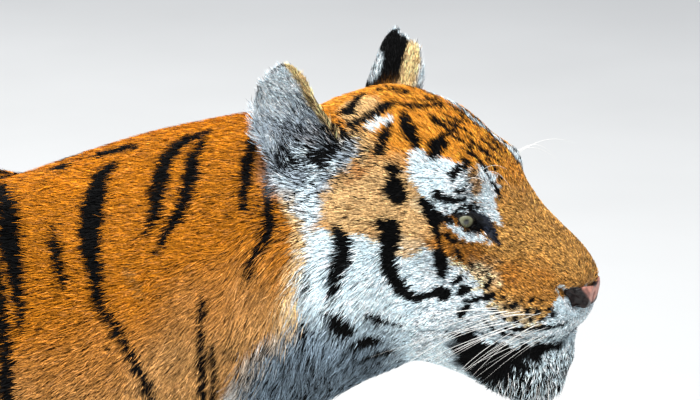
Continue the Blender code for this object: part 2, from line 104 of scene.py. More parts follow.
def place_camera():
    """A long lens from the animal's right, a little above it and looking down."""
    level = math.cos(CAMERA_TILT)
    back = Vector((math.sin(CAMERA_TURN) * level, -math.cos(CAMERA_TURN) * level, math.sin(CAMERA_TILT)))
    right = Vector((math.cos(CAMERA_TURN), math.sin(CAMERA_TURN), 0))
    up = back.cross(right)
    target = Vector(HEAD_AT) - right * AIM_BEHIND + up * AIM_ABOVE
    data = bpy.data.cameras.new("camera")
    data.sensor_width = SENSOR_WIDTH
    data.lens = SENSOR_WIDTH * CAMERA_DISTANCE / VIEW_WIDTH
    data.clip_end = 200
    camera = bpy.data.objects.new("camera", data)
    camera.location = target + back * CAMERA_DISTANCE
    camera.rotation_mode = "QUATERNION"
    camera.rotation_quaternion = (-back).to_track_quat("-Z", "Y")
    bpy.context.scene.collection.objects.link(camera)
    bpy.context.scene.camera = camera


def softbox(name, place, target, size, power, colour):
    """A square studio light that faces a target."""
    data = bpy.data.lights.new(name, "AREA")
    data.shape = "SQUARE"
    data.size = size
    data.energy = power
    data.color = colour
    lamp = bpy.data.objects.new(name, data)
    lamp.location = place
    lamp.rotation_mode = "QUATERNION"
    lamp.rotation_quaternion = (Vector(target) - Vector(place)).to_track_quat("-Z", "Y")
    lamp.visible_camera = False
    bpy.context.scene.collection.objects.link(lamp)


# ---------------------------------------------------------------- materials


def linear(code):
    """A linear colour with alpha from an sRGB hex value."""
    parts = [int(code[i : i + 2], 16) / 255 for i in (1, 3, 5)]
    return (*[c / 12.92 if c <= 0.04045 else ((c + 0.055) / 1.055) ** 2.4 for c in parts], 1.0)


def tone(code):
    """The same colour as a numpy triple."""
    return np.array(linear(code)[:3])


def add(tree, kind, settings=None, **links):
    """Adds a node: its settings by name, then its inputs by name or as i and their number.

    Each input is a value or another node's output.
    """
    node = tree.nodes.new(kind)
    for key, value in (settings or {}).items():
        setattr(node, key, value)
    for key, value in links.items():
        numbered = key[0] == "i" and key[1:].isdigit()
        socket = node.inputs[int(key[1:]) if numbered else key.replace("_", " ")]
        if isinstance(value, bpy.types.NodeSocket):
            tree.links.new(value, socket)
        else:
            socket.default_value = value
    return node


def material(name):
    """An empty node material, as (material, tree)."""
    made = bpy.data.materials.new(name)
    made.use_nodes = True
    made.node_tree.nodes.clear()
    return made, made.node_tree


def varied(tree, colour, noise, low, high):
    """A colour multiplied by low to high times, as a noise goes from 0.3 to 0.7, where it mostly is."""
    reach = {"From_Min": 0.3, "From_Max": 0.7, "To_Min": low, "To_Max": high}
    share = add(tree, "ShaderNodeMapRange", None, Value=noise.outputs["Fac"], **reach).outputs[0]
    multiply = {"data_type": "RGBA", "blend_type": "MULTIPLY"}
    return add(tree, "ShaderNodeMix", multiply, i0=1.0, i6=colour, i7=share).outputs[2]


def hair_material():
    """Guard hair: keratin, dry and soft, so it is matt with a faint silky gloss along its edges."""
    made, tree = material("guard_hair")
    place = add(tree, "ShaderNodeTexCoord").outputs["Object"]
    coat = add(tree, "ShaderNodeAttribute", {"attribute_name": "coat"}).outputs["Color"]
    # Single hairs, locks a few millimetres wide and patches of a hand's width each differ in tone.
    single = add(tree, "ShaderNodeTexNoise", None, Vector=place, Scale=1 / (2.2 * MM), Detail=3.0)
    lock = add(tree, "ShaderNodeTexNoise", None, Vector=place, Scale=1 / (6 * MM), Detail=3.0)
    patch = add(tree, "ShaderNodeTexNoise", None, Vector=place, Scale=1 / (70 * MM), Detail=2.0)
    colour = varied(tree, coat, lock, 0.84, 1.14)
    colour = varied(tree, colour, single, 0.56, 1.42)
    colour = varied(tree, colour, patch, 0.93, 1.06)
    gloss = {"Roughness": 0.6, "Specular_IOR_Level": 0.05, "Sheen_Weight": 0.01, "Sheen_Roughness": 0.5}
    shader = add(tree, "ShaderNodeBsdfPrincipled", None, Base_Color=colour, **gloss)
    add(tree, "ShaderNodeOutputMaterial", None, Surface=shader.outputs[0])
    return made


def skin_material():
    """Haired hide under the coat: the undercoat's short wool, matt, with a fine nap."""
    made, tree = material("haired_hide")
    place = add(tree, "ShaderNodeTexCoord").outputs["Object"]
    coat = add(tree, "ShaderNodeAttribute", {"attribute_name": "coat"}).outputs["Color"]
    # The wool's curls are 1.6 mm across and its locks 9 mm.
    curls = {"Scale": 1 / (1.6 * MM), "Detail": 4.0, "Roughness": 0.7}
    nap = add(tree, "ShaderNodeTexNoise", None, Vector=place, **curls)
    lock = add(tree, "ShaderNodeTexNoise", None, Vector=place, Scale=1 / (9 * MM), Detail=3.0)
    colour = varied(tree, coat, nap, 0.55, 1.15)
    colour = varied(tree, colour, lock, 0.85, 1.1)
    bump = add(tree, "ShaderNodeBump", None, Strength=0.7, Distance=1.2 * MM, Height=nap.outputs["Fac"])
    gloss = {"Roughness": 0.85, "Specular_IOR_Level": 0.2, "Sheen_Weight": 0.1, "Normal": bump.outputs[0]}
    shader = add(tree, "ShaderNodeBsdfPrincipled", None, Base_Color=colour, **gloss)
    add(tree, "ShaderNodeOutputMaterial", None, Surface=shader.outputs[0])
    return made


# The eye's colours outwards from the middle of its gaze, each at its share of a half turn.
EYE_RINGS = (
    (0.0, "#030303"),  # the pupil
    (0.038, "#040404"),
    (0.047, "#2C2B1B"),
    (0.070, "#5F5E43"),  # the iris
    (0.118, "#7A795F"),
    (0.142, "#50503E"),
    (0.152, "#1C1812"),  # its dark rim
    (0.22, "#15110F"),
)


def eye_material():
    """A living eye: a slate-olive iris with radial fibres under a clear, wet cornea."""
    made, tree = material("wet_eye")
    uv = add(tree, "ShaderNodeUVMap", {"uv_map": "eye_map"}).outputs["UV"]
    out = add(tree, "ShaderNodeSeparateXYZ", None, Vector=uv).outputs["Y"]
    # The fibres are about 0.3 mm apart round an iris of 16 mm.
    stretch = add(tree, "ShaderNodeMapping", None, Vector=uv, Scale=(90.0, 9.0, 1.0))
    fibre = add(tree, "ShaderNodeTexNoise", None, Vector=stretch.outputs[0], Scale=1.0, Detail=3.0)
    # The fibres also make the edges of the rings a little uneven.
    wavy = {"i0": fibre.outputs["Fac"], "i1": 0.012, "i2": out}
    spot = add(tree, "ShaderNodeMath", {"operation": "MULTIPLY_ADD"}, **wavy).outputs[0]
    ramp = add(tree, "ShaderNodeValToRGB", None, Fac=spot)
    rings = ramp.color_ramp.elements
    for place, code in EYE_RINGS[1:-1]:
        rings.new(place).color = linear(code)
    rings[0].color = linear(EYE_RINGS[0][1])
    rings[-1].position = EYE_RINGS[-1][0]
    rings[-1].color = linear(EYE_RINGS[-1][1])
    colour = varied(tree, ramp.outputs["Color"], fibre, 0.6, 1.3)
    gloss = {"Roughness": 0.28, "Coat_Weight": 1.0, "Coat_Roughness": 0.02, "Coat_IOR": 1.38}
    shader = add(tree, "ShaderNodeBsdfPrincipled", None, Base_Color=colour, **gloss)
    add(tree, "ShaderNodeOutputMaterial", None, Surface=shader.outputs[0])
    return made


def leather_material(name, scale, gloss, bump_depth):
    """Bare wet skin, as on nose and lids: fine pebbles, moist gloss. Its colour is in the piece."""
    made, tree = material(name)
    place = add(tree, "ShaderNodeTexCoord").outputs["Object"]
    tint = add(tree, "ShaderNodeAttribute", {"attribute_name": "coat"}).outputs["Color"]
    pebble = add(tree, "ShaderNodeTexVoronoi", None, Vector=place, Scale=1 / scale)
    mottle = add(tree, "ShaderNodeTexNoise", None, Vector=place, Scale=1 / (4 * MM), Detail=3.0)
    colour = varied(tree, tint, mottle, 0.75, 1.2)
    grain = {"Strength": 0.5, "Distance": bump_depth, "Height": pebble.outputs["Distance"]}
    bump = add(tree, "ShaderNodeBump", {"invert": True}, **grain).outputs[0]
    wet = {"Roughness": gloss, "Specular_IOR_Level": 0.2, "Coat_Weight": 0.10, "Coat_Roughness": 0.12}
    shader = add(tree, "ShaderNodeBsdfPrincipled", None, Base_Color=colour, Normal=bump, **wet)
    add(tree, "ShaderNodeOutputMaterial", None, Surface=shader.outputs[0])
    return made


def horn_material(name, code, rough):
    """Horn, the keratin of whiskers and lashes: smooth, with a low gloss and a slightly uneven tone."""
    made, tree = material(name)
    place = add(tree, "ShaderNodeTexCoord").outputs["Object"]
    streak = add(tree, "ShaderNodeTexNoise", None, Vector=place, Scale=1 / (3 * MM), Detail=2.0)
    colour = varied(tree, linear(code), streak, 0.85, 1.1)
    gloss = {"Roughness": rough, "Specular_IOR_Level": 0.5}
    shader = add(tree, "ShaderNodeBsdfPrincipled", None, Base_Color=colour, **gloss)
    add(tree, "ShaderNodeOutputMaterial", None, Surface=shader.outputs[0])
    return made


def floor_material():
    """Matt studio paint, nearly even, with the slight cloudiness of a rolled floor."""
    made, tree = material("studio_floor")
    place = add(tree, "ShaderNodeTexCoord").outputs["Object"]
    cloud = add(tree, "ShaderNodeTexNoise", None, Vector=place, Scale=1.5, Detail=3.0)
    colour = varied(tree, linear("#D9D9D6"), cloud, 0.97, 1.03)
    gloss = {"Roughness": 0.9, "Specular_IOR_Level": 0.1}
    shader = add(tree, "ShaderNodeBsdfPrincipled", None, Base_Color=colour, **gloss)
    add(tree, "ShaderNodeOutputMaterial", None, Surface=shader.outputs[0])
    return made


# ---------------------------------------------------------------- mesh helpers


def unit(vectors):
    """Vectors of length 1."""
    return vectors / np.maximum(np.linalg.norm(vectors, axis=-1, keepdims=True), 1e-12)


def smoothstep(value, low, high):
    """0 below low, 1 above high, and an even S between."""
    t = np.clip((value - low) / (high - low), 0, 1)
    return t * t * (3 - 2 * t)


def drift(points, size, seed):
    """Smooth noise of about -1 to 1: the sum of 12 sine waves about size long, in random directions."""
    rng = np.random.default_rng(seed)
    ways = unit(rng.normal(size=(12, points.shape[1])))
    waves = ways * rng.uniform(0.7, 1.4, (12, 1)) * (2 * np.pi / size)
    return np.sin(points @ waves.T + rng.uniform(0, 2 * np.pi, 12)).sum(1) / 3.5


def new_piece(name, points, faces, surface, smooth=True):
    """A piece from an array of points and one of equal-sided faces, riding on the root."""
    mesh = bpy.data.meshes.new(name)
    faces = np.asarray(faces, np.int32)
    mesh.vertices.add(len(points))
    mesh.vertices.foreach_set("co", np.ascontiguousarray(points, np.float32).ravel())
    mesh.loops.add(faces.size)
    mesh.loops.foreach_set("vertex_index", faces.ravel())
    mesh.polygons.add(len(faces))
    mesh.polygons.foreach_set("loop_start", np.arange(len(faces), dtype=np.int32) * faces.shape[1])
    mesh.update(calc_edges=True)
    mesh.validate()
    return finish_piece(name, mesh, surface, smooth)


def finish_piece(name, mesh, surface, smooth=True):
    """Gives a mesh its object, finish and slot."""
    made = bpy.data.objects.new(name, mesh)
    bpy.context.scene.collection.objects.link(made)
    mesh.materials.clear()
    mesh.materials.append(surface)
    if smooth:
        mesh.shade_smooth()
    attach(made, "root")
    return made


def paint(mesh, colours):
    """Stores one colour for each point, which the material reads."""
    layer = mesh.color_attributes.new("coat", "FLOAT_COLOR", "POINT")
    full = np.ones((len(colours), 4), np.float32)
    full[:, :3] = colours
    layer.data.foreach_set("color", full.ravel())


def tube_faces(rings, around, closed=False):
    """Quads between rings of points, and on a closed path also from the last ring to the first."""
    index = np.arange(rings * around).reshape(rings, around)
    if closed:
        index = np.vstack([index, index[:1]])
    ahead = np.roll(index, -1, axis=1)
    return np.stack([index[:-1], ahead[:-1], ahead[1:], index[1:]], -1).reshape(-1, 4)


def arrays(mesh):
    """(points, normals, edges) of a mesh."""
    points = np.empty(len(mesh.vertices) * 3, np.float32)
    mesh.vertices.foreach_get("co", points)
    normals = np.empty(len(mesh.vertices) * 3, np.float32)
    mesh.vertex_normals.foreach_get("vector", normals)
    edges = np.empty(len(mesh.edges) * 2, np.int32)
    mesh.edges.foreach_get("vertices", edges)
    return points.reshape(-1, 3).astype(float), normals.reshape(-1, 3).astype(float), edges.reshape(-1, 2)


def triangles(mesh):
    """The mesh's triangles."""
    mesh.calc_loop_triangles()
    found = np.empty(len(mesh.loop_triangles) * 3, np.int32)
    mesh.loop_triangles.foreach_get("vertices", found)
    return found.reshape(-1, 3)


def averaged(values, edges, turns, share=0.5):
    """Values at points, each moved the share of the way to its neighbours' mean, that many times."""
    first, second = np.concatenate([edges, edges[:, ::-1]]).T
    count = np.maximum(np.bincount(first, minlength=len(values)), 1)[:, None]
    share = np.broadcast_to(np.asarray(share, float).reshape(-1, 1), (len(values), 1))
    for _ in range(turns):
        total = np.stack([np.bincount(first, column[second], len(values)) for column in values.T], 1)
        values = values + share * (total / count - values)
    return values


def evaluated(obj):
    """The mesh that an object's modifiers make, and the object removed."""
    graph = bpy.context.evaluated_depsgraph_get()
    mesh = bpy.data.meshes.new_from_object(obj.evaluated_get(graph), depsgraph=graph)
    bpy.data.objects.remove(obj)
    return mesh


def with_modifiers(mesh, *modifiers):
    """The mesh after modifiers, each a kind and its settings."""
    obj = bpy.data.objects.new("draft", mesh)
    bpy.context.scene.collection.objects.link(obj)
    for kind, settings in modifiers:
        made = obj.modifiers.new(kind.title(), kind)
        for key, value in settings.items():
            setattr(made, key, value)
    bpy.context.view_layer.update()
    return evaluated(obj)


# ---------------------------------------------------------------- the skin

FLESH = [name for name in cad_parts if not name.startswith("eye") and name != "nose"]
LEGS = ("foreleg_left", "foreleg_right", "hindleg_left", "hindleg_right")
FEET = ("forepaw_left", "forepaw_right", "hindfoot_left", "hindfoot_right")
REGIONS = ("head", "jaw", "ear_left", "ear_right", "neck", "trunk", "tail", *LEGS, *FEET)
GRID = 5.2 * MM  # faces of the fused skin, before the body is made coarser and the face finer
GROWTH = 1.2 * MM  # by which the nodes grow, so that the cuts between them close
BODY_TRIANGLES = 92000  # about what the body keeps, so that the whole skin stays under 200,000
MERGE = 1e-5


def fused_flesh():
    """One closed surface over copies of the flesh nodes, the nose and the eyeballs, slightly grown."""
    bm = bmesh.new()
    for name in [*FLESH, "nose"]:
        bm.from_mesh(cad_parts[name].data)
    bmesh.ops.remove_doubles(bm, verts=bm.verts, dist=MERGE)
    for side in (1, -1):
        place = Matrix.Translation(Vector(from_head(EYE_BALL * (1, side, 1))))
        bmesh.ops.create_icosphere(bm, subdivisions=4, radius=EYE_RADIUS, matrix=place)
    mesh = bpy.data.meshes.new("draft")
    bm.to_mesh(mesh)
    bm.free()
    grow = ("DISPLACE", {"strength": GROWTH, "mid_level": 0})
    return with_modifiers(mesh, grow, ("REMESH", {"mode": "VOXEL", "voxel_size": GRID}))


def set_points(mesh, points):
    """Moves a mesh's points."""
    mesh.vertices.foreach_set("co", points.astype(np.float32).ravel())
    mesh.update()


def subdivided(mesh, chosen):
    """The mesh with each face whose points are all chosen cut into four."""
    bm = bmesh.new()
    bm.from_mesh(mesh)
    bm.verts.ensure_lookup_table()
    flags = chosen.tolist()
    edges = [e for e in bm.edges if flags[e.verts[0].index] and flags[e.verts[1].index]]
    bmesh.ops.subdivide_edges(bm, edges=edges, cuts=1, use_grid_fill=True, smooth=0.0)
    made = bpy.data.meshes.new("draft")
    bm.to_mesh(made)
    bm.free()
    return made


def region_of(node):
    """The region that a node belongs to."""
    name = "tail" if node.startswith("tail") else "head" if node == "nose" else node
    return REGIONS.index(name)


def flesh_tree():
    """A search tree over the nodes' faces, and each face's region."""
    corners, faces, regions, start = [], [], [], 0
    for name in [*FLESH, "nose"]:
        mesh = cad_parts[name].data
        corners += [v.co.copy() for v in mesh.vertices]
        faces += [[start + i for i in p.vertices] for p in mesh.polygons]
        regions += [region_of(name)] * len(mesh.polygons)
        start = len(corners)
    return BVHTree.FromPolygons(corners, faces), np.array(regions)


def region_weights(points, edges, turns):
    """(hard, soft) weights: a column for each region, 1 where a point is nearest to it, then softened."""
    tree, regions = flesh_tree()
    nearest = np.array([tree.find_nearest(Vector(p))[2] for p in points])
    hard = np.eye(len(REGIONS))[regions[nearest]]
    return hard, averaged(hard, edges, turns)


def weight(weights, *names):
    """The summed weight of some regions."""
    return weights[:, [REGIONS.index(name) for name in names]].sum(1)


def bump(points, centre, size, height):
    """A soft round rise at a point, given in mm in the head's frame and mirrored to both sides."""
    place = both_sides(points) if centre[1] else points
    offset = (place - np.array(centre) * MM) / (np.array(size) * MM)
    return height * MM * np.exp(-(offset**2).sum(1))


# Forms of the face: centre, size and rise in mm, in the head's frame, for both sides.
FACE_FORMS = (
    ((10, 40, 28), (22, 14, 9), 2.6),  # brow over the eye
    ((36, 40, -2), (16, 10, 12), -3.5),  # hollow at the inner corner
    ((-30, 66, 8), (16, 16, 12), -2.0),  # behind the eye
    ((60, 34, -22), (30, 12, 14), -2.2),  # side of the bridge
    ((8, 62, -26), (24, 14, 10), 2.0),  # cheekbone under the eye
    ((94, 44, -78), (30, 14, 20), 3.0),  # whisker pad
    ((112, 34, -92), (22, 14, 10), 2.5),  # lower edge of the pad
    ((126, 33, -46), (10, 8, 12), -1.5),  # behind the wing of the nose
    ((48, 50, -100), (30, 14, 10), 1.5),  # lip behind the pad
    ((136, 10, -158), (20, 30, 26), -6.0),  # chin, which slopes back
    ((40, 48, -150), (40, 12, 14), -2.0),  # hollow of the lower lip
    ((-30, 0, 90), (36, 40, 24), -5.5),  # forehead between the brows
    ((62, 0, 28), (20, 24, 16), -3.5),  # stop under the forehead
    ((0, 30, -178), (60, 50, 26), -5.0),  # underside of the jaw
)
PHILTRUM = ((141, 0, -74), (14, 2.6, 14), -3.5)


def mouth_height(x):
    """Height of the mouth line along the head: it falls from the nose and rises to the corner."""
    return -0.084 - (0.175 - x) * 0.318 + 0.016 * smoothstep(-x, -0.070, -0.020)


def eye_frame(side):
    """(middle, gaze, towards the nose, up) of an eye, in the head's frame."""
    gaze = GAZE * (1, side, 1)
    nose = unit(np.cross(np.array((0, 0, 1.0)), gaze) * -side)
    up = np.cross(nose, gaze) * side
    up = up if up[2] > 0 else -up
    return EYE_BALL * (1, side, 1), gaze, nose, up


LID_CORNERS = math.radians(-35), math.radians(50)  # behind and towards the nose, from the gaze
LID_TOP, LID_BOTTOM = math.radians(21), math.radians(27)
LID_SLOPE = -0.17  # the inner corner is lower


def lid_edge(across):
    """Angles of the upper and lower lid at a place from -1, the outer corner, to 1, the inner."""
    bow = np.clip(1 - across**2, 0, 1)
    tilt = LID_SLOPE * across
    return tilt + LID_TOP * bow**0.75, tilt - LID_BOTTOM * bow**0.85


def lid_place(head_points, side):
    """Where points lie from an eye, as (distance, distance ahead, place across the lids, angle up).

    The place across goes from -1 at the outer corner of the lids to 1 at the inner.
    """
    middle, gaze, nose, up = eye_frame(side)
    offset = head_points - middle
    far = np.linalg.norm(offset, axis=1)
    forward, sideways, upward = offset @ gaze, offset @ nose, offset @ up
    low, high = LID_CORNERS
    across = (np.arctan2(sideways, forward) - (low + high) / 2) / ((high - low) / 2)
    return far, forward, across, np.arcsin(np.clip(upward / np.maximum(far, 1e-9), -1, 1))


def lid_way(across, tall, side):
    """The directions from an eye's middle to places across the lids, at angles up."""
    _, gaze, nose, up = eye_frame(side)
    low, high = LID_CORNERS
    sideways = (low + high) / 2 + across * (high - low) / 2
    level = np.cos(sideways)[:, None] * gaze + np.sin(sideways)[:, None] * nose
    return np.cos(tall)[:, None] * level + np.sin(tall)[:, None] * up


# The nostril on each side: from the slit in the wing to the round opening, and the dark hollow over it.
NOSTRILS = [
    np.array(rows) * MM
    for rows in (
        ((119, 41, -43, 1.5), (126, 37, -50, 4.5), (134, 31, -57, 8.0), (140, 24, -61, 7.5)),
        ((130, 34, -46, 3.0), (139, 25, -50, 4.5), (143, 19, -56, 4.5)),
    )
]
# The upper and lower edges of the bare leather, from the wing of the nose to its front: x and z in mm.
LEATHER_TOP = ((110, -41), (118, -41), (129, -42), (139, -38), (144, -39), (150, -40))
LEATHER_FOOT = ((110, -43), (117, -47), (126, -56), (132, -64), (139, -72), (142, -76), (150, -77))
NOSE_CORE = (0.112, 0, -0.060)  # inside the muzzle, where the hidden part of the leather goes
# The pink place on the front of the leather, beside the groove.
PINK = ((139, 22, -41, 3), (143, 14, -45, 6), (146, 5, -50, 8), (147, 0, -54, 8))


def bare_nose(q):
    """1 on the leather of the nose and 0 off it, for points in the head's frame."""
    top = np.interp(q[:, 0], *np.array(LEATHER_TOP).T * MM)
    foot = np.interp(q[:, 0], *np.array(LEATHER_FOOT).T * MM)
    inside = smoothstep(top - q[:, 2], -1.2 * MM, 1.2 * MM)
    inside *= smoothstep(q[:, 2] - foot, -1.2 * MM, 1.2 * MM)
    return inside * smoothstep(q[:, 0], 0.115, 0.118)


def sculpt_face(head_points, normals):
    """Points of the head's frame with the forms of the face, the mouth line and the lids added."""
    rise = sum(bump(head_points, *form) for form in FACE_FORMS) + bump(head_points, *PHILTRUM)
    x, y, z = head_points.T
    below = z - mouth_height(x)
    reach = smoothstep(x, 0.000, 0.020) * smoothstep(-np.abs(y), -0.075, -0.062)
    rise = rise - 5.0 * MM * np.exp(-((below + 1.5 * MM) / (2.6 * MM)) ** 2) * reach
    half = both_sides(head_points)
    nostril = smoothstep(-nearest_stroke(half, NOSTRILS), -3 * MM, 2 * MM)
    rise = rise - 7.0 * MM * nostril - 3.0 * MM * bare_nose(half)
    made = head_points + normals * rise[:, None]
    for side in (1, -1):
        ball = EYE_BALL * (1, side, 1)
        away = unit(made - ball)
        far, forward, across, tall = lid_place(made, side)
        upper, lower = lid_edge(across)
        inside = (np.abs(across) < 1) & (tall < upper) & (tall > lower)
        inside &= (far < EYE_RADIUS + 0.02) & (forward > 0)
        near = (forward > 0) & (far < EYE_RADIUS + 0.006)
        # Lids are about 2 mm thick and hug the ball. In their opening the skin passes under its surface.
        shell = np.maximum(far, EYE_RADIUS + 1.9 * MM)
        made = np.where(near[:, None], ball + away * shell[:, None], made)
        made = np.where(inside[:, None], ball + away * (EYE_RADIUS - 3 * MM), made)
    return made


def build_skin():
    """The skin's mesh: the nodes fused, smoothed, made coarser on the body and finer on the face."""
    mesh = fused_flesh()
    points, _, edges = arrays(mesh)
    head = to_head(points)
    ears = smoothstep(np.abs(head[:, 1]), 0.085, 0.1) * smoothstep(head[:, 2], 0.02, 0.04)
    is_head = smoothstep(head[:, 0], -0.26, -0.20)
    share = np.where(is_head > 0.5, 0.5 - 0.35 * ears, 0.5)
    points = averaged(points, edges, 8, share)
    body = is_head < 0.5
    # The paws keep their toes, and the rest of the body is smoothed.
    above = smoothstep(points[:, 2], 0.055, 0.100)
    points = np.where(body[:, None], averaged(points, edges, 22, 0.5 * above), points)
    set_points(mesh, points)

    obj = bpy.data.objects.new("draft", mesh)
    bpy.context.scene.collection.objects.link(obj)
    group = obj.vertex_groups.new(name="thin")
    group.add(np.flatnonzero(body).tolist(), 1.0, "REPLACE")
    total, of_body = len(mesh.polygons), float(body.mean())
    wanted = BODY_TRIANGLES / (2 * total)
    modifier = obj.modifiers.new("Decimate", "DECIMATE")
    modifier.vertex_group = "thin"
    modifier.ratio = (1 - of_body) + wanted
    bpy.context.view_layer.update()
    mesh = evaluated(obj)

    # The face is cut finer, and once more round the eyes.
    head = to_head(arrays(mesh)[0])
    mesh = subdivided(mesh, (head[:, 0] > -0.060) & (np.abs(head[:, 1]) < 0.090) & (head[:, 2] < 0.095))
    head = to_head(arrays(mesh)[0])
    mesh = subdivided(mesh, (eye_distance(head) < 0.034) & (head[:, 0] > -0.03))
    points, _, edges = arrays(mesh)
    head = to_head(points)
    face = smoothstep(head[:, 0], -0.07, -0.05)
    points = averaged(points, edges, 6, 0.5 * face)
    set_points(mesh, points)
    return mesh


# ---------------------------------------------------------------- where things lie on the body

# The axis of neck and trunk, from rump to skull: x, y, z.
BODY_AXIS = np.array(
    (
        (-0.55, 0.000, 0.700),
        (-0.15, 0.000, 0.670),
        (0.10, 0.000, 0.655),
        (0.45, 0.000, 0.665),
        (0.60, -0.004, 0.720),
        (0.72, -0.018, 0.790),
        (0.82, -0.038, 0.830),
        (0.90, -0.062, 0.860),
    )
)
AROUND = 0.17  # the radius at which an angle round the trunk becomes a length


def on_body(points):
    """(x, angle above the side in radians from -90 to 90 degrees, side) of points on neck and trunk."""
    y = np.interp(points[:, 0], BODY_AXIS[:, 0], BODY_AXIS[:, 1])
    z = np.interp(points[:, 0], BODY_AXIS[:, 0], BODY_AXIS[:, 2])
    across = points[:, 1] - y
    return points[:, 0], np.arctan2(points[:, 2] - z, np.abs(across)), np.where(across > 0, 1.0, -1.0)


def limb_axis(points, hard, *names):
    """Heights and middles of a limb: half way across its points, in bands 40 mm high and 30 mm apart."""
    chosen = points[weight(hard, *names) > 0.5]
    levels = np.arange(0.0, chosen[:, 2].max(), 0.03)
    rows = []
    for level in levels:
        band = chosen[np.abs(chosen[:, 2] - level) < 0.02]
        if len(band) > 8:
            rows.append((level, *(band[:, :2].min(0) + band[:, :2].max(0)) / 2))
    return np.array(rows)


def on_limb(points, axis):
    """(height, angle round the limb from its front in radians) of points."""
    x = np.interp(points[:, 2], axis[:, 0], axis[:, 1])
    y = np.interp(points[:, 2], axis[:, 0], axis[:, 2])
    return points[:, 2], np.arctan2(points[:, 1] - y, points[:, 0] - x)


# The tail's line in the row frame: x, y, z.
TAIL_LINE = np.array(
    (
        (-0.494, 0.000, 0.790),
        (-0.584, 0.004, 0.740),
        (-0.636, 0.008, 0.687),
        (-0.674, 0.010, 0.630),
        (-0.719, 0.018, 0.520),
        (-0.759, 0.028, 0.400),
        (-0.809, 0.040, 0.290),
        (-0.889, 0.052, 0.205),
        (-0.989, 0.060, 0.175),
        (-1.079, 0.062, 0.200),
        (-1.139, 0.060, 0.245),
    )
)


def on_tail(points):
    """(length along the tail, angle round it, its direction there) of points."""
    steps = np.diff(TAIL_LINE, axis=0)
    lengths = np.linalg.norm(steps, axis=1)
    starts = np.concatenate([[0], np.cumsum(lengths)])
    best = np.full(len(points), 1e9)
    along = np.zeros(len(points))
    way = np.zeros((len(points), 3))
    foot = np.zeros((len(points), 3))
    for i, (step, length) in enumerate(zip(steps, lengths)):
        t = np.clip(((points - TAIL_LINE[i]) @ step) / length**2, 0, 1)
        spot = TAIL_LINE[i] + t[:, None] * step
        gap = np.linalg.norm(points - spot, axis=1)
        nearer = gap < best
        best = np.where(nearer, gap, best)
        along = np.where(nearer, starts[i] + t * length, along)
        way[nearer] = step / length
        foot[nearer] = spot[nearer]
    offset = points - foot
    normal_way = np.cross(way, (0, 1, 0))
    return along, np.arctan2(offset[:, 1], (offset * normal_way).sum(1)), way


# ---------------------------------------------------------------- the markings

BLACK = tone("#050505")
CROWN = tone("#DB8E2C")
RUSTY = tone("#96541A")
ORANGE = tone("#AF6A14")
DEEP_ORANGE = tone("#CC7A0E")
TAN = tone("#B58A55")
BRIDGE = tone("#BA8846")
MUZZLE = tone("#9A6526")  # the side of the muzzle and the cheekbone
BUFF = tone("#D9B27A")
BLOND = tone("#F0DBB2")  # between orange and white
# White hair; its blue tint is painted cool light of shade.
WHITE = tone("#E0F3FA")
# The grey of painted shade in the pockets before and under the ear.
POCKET_SHADE_GREY = tone("#8A939E")
SHADOW = tone("#4A4E57")  # painted shade in the hollows of the ear
BROWN = tone("#8A6434")
SLATE = tone("#20242D")
GOLD = tone("#E9C48A")  # the ears' front edges
# The ear's white hair as it looks in shade, greyer and bluer: painted shade.
EAR_WHITE_IN_SHADE = tone("#CAD8E4")
PAINTED_RUFF_SHADE = tone("#4E6070")  # painted shade on the white hair low in the ruff
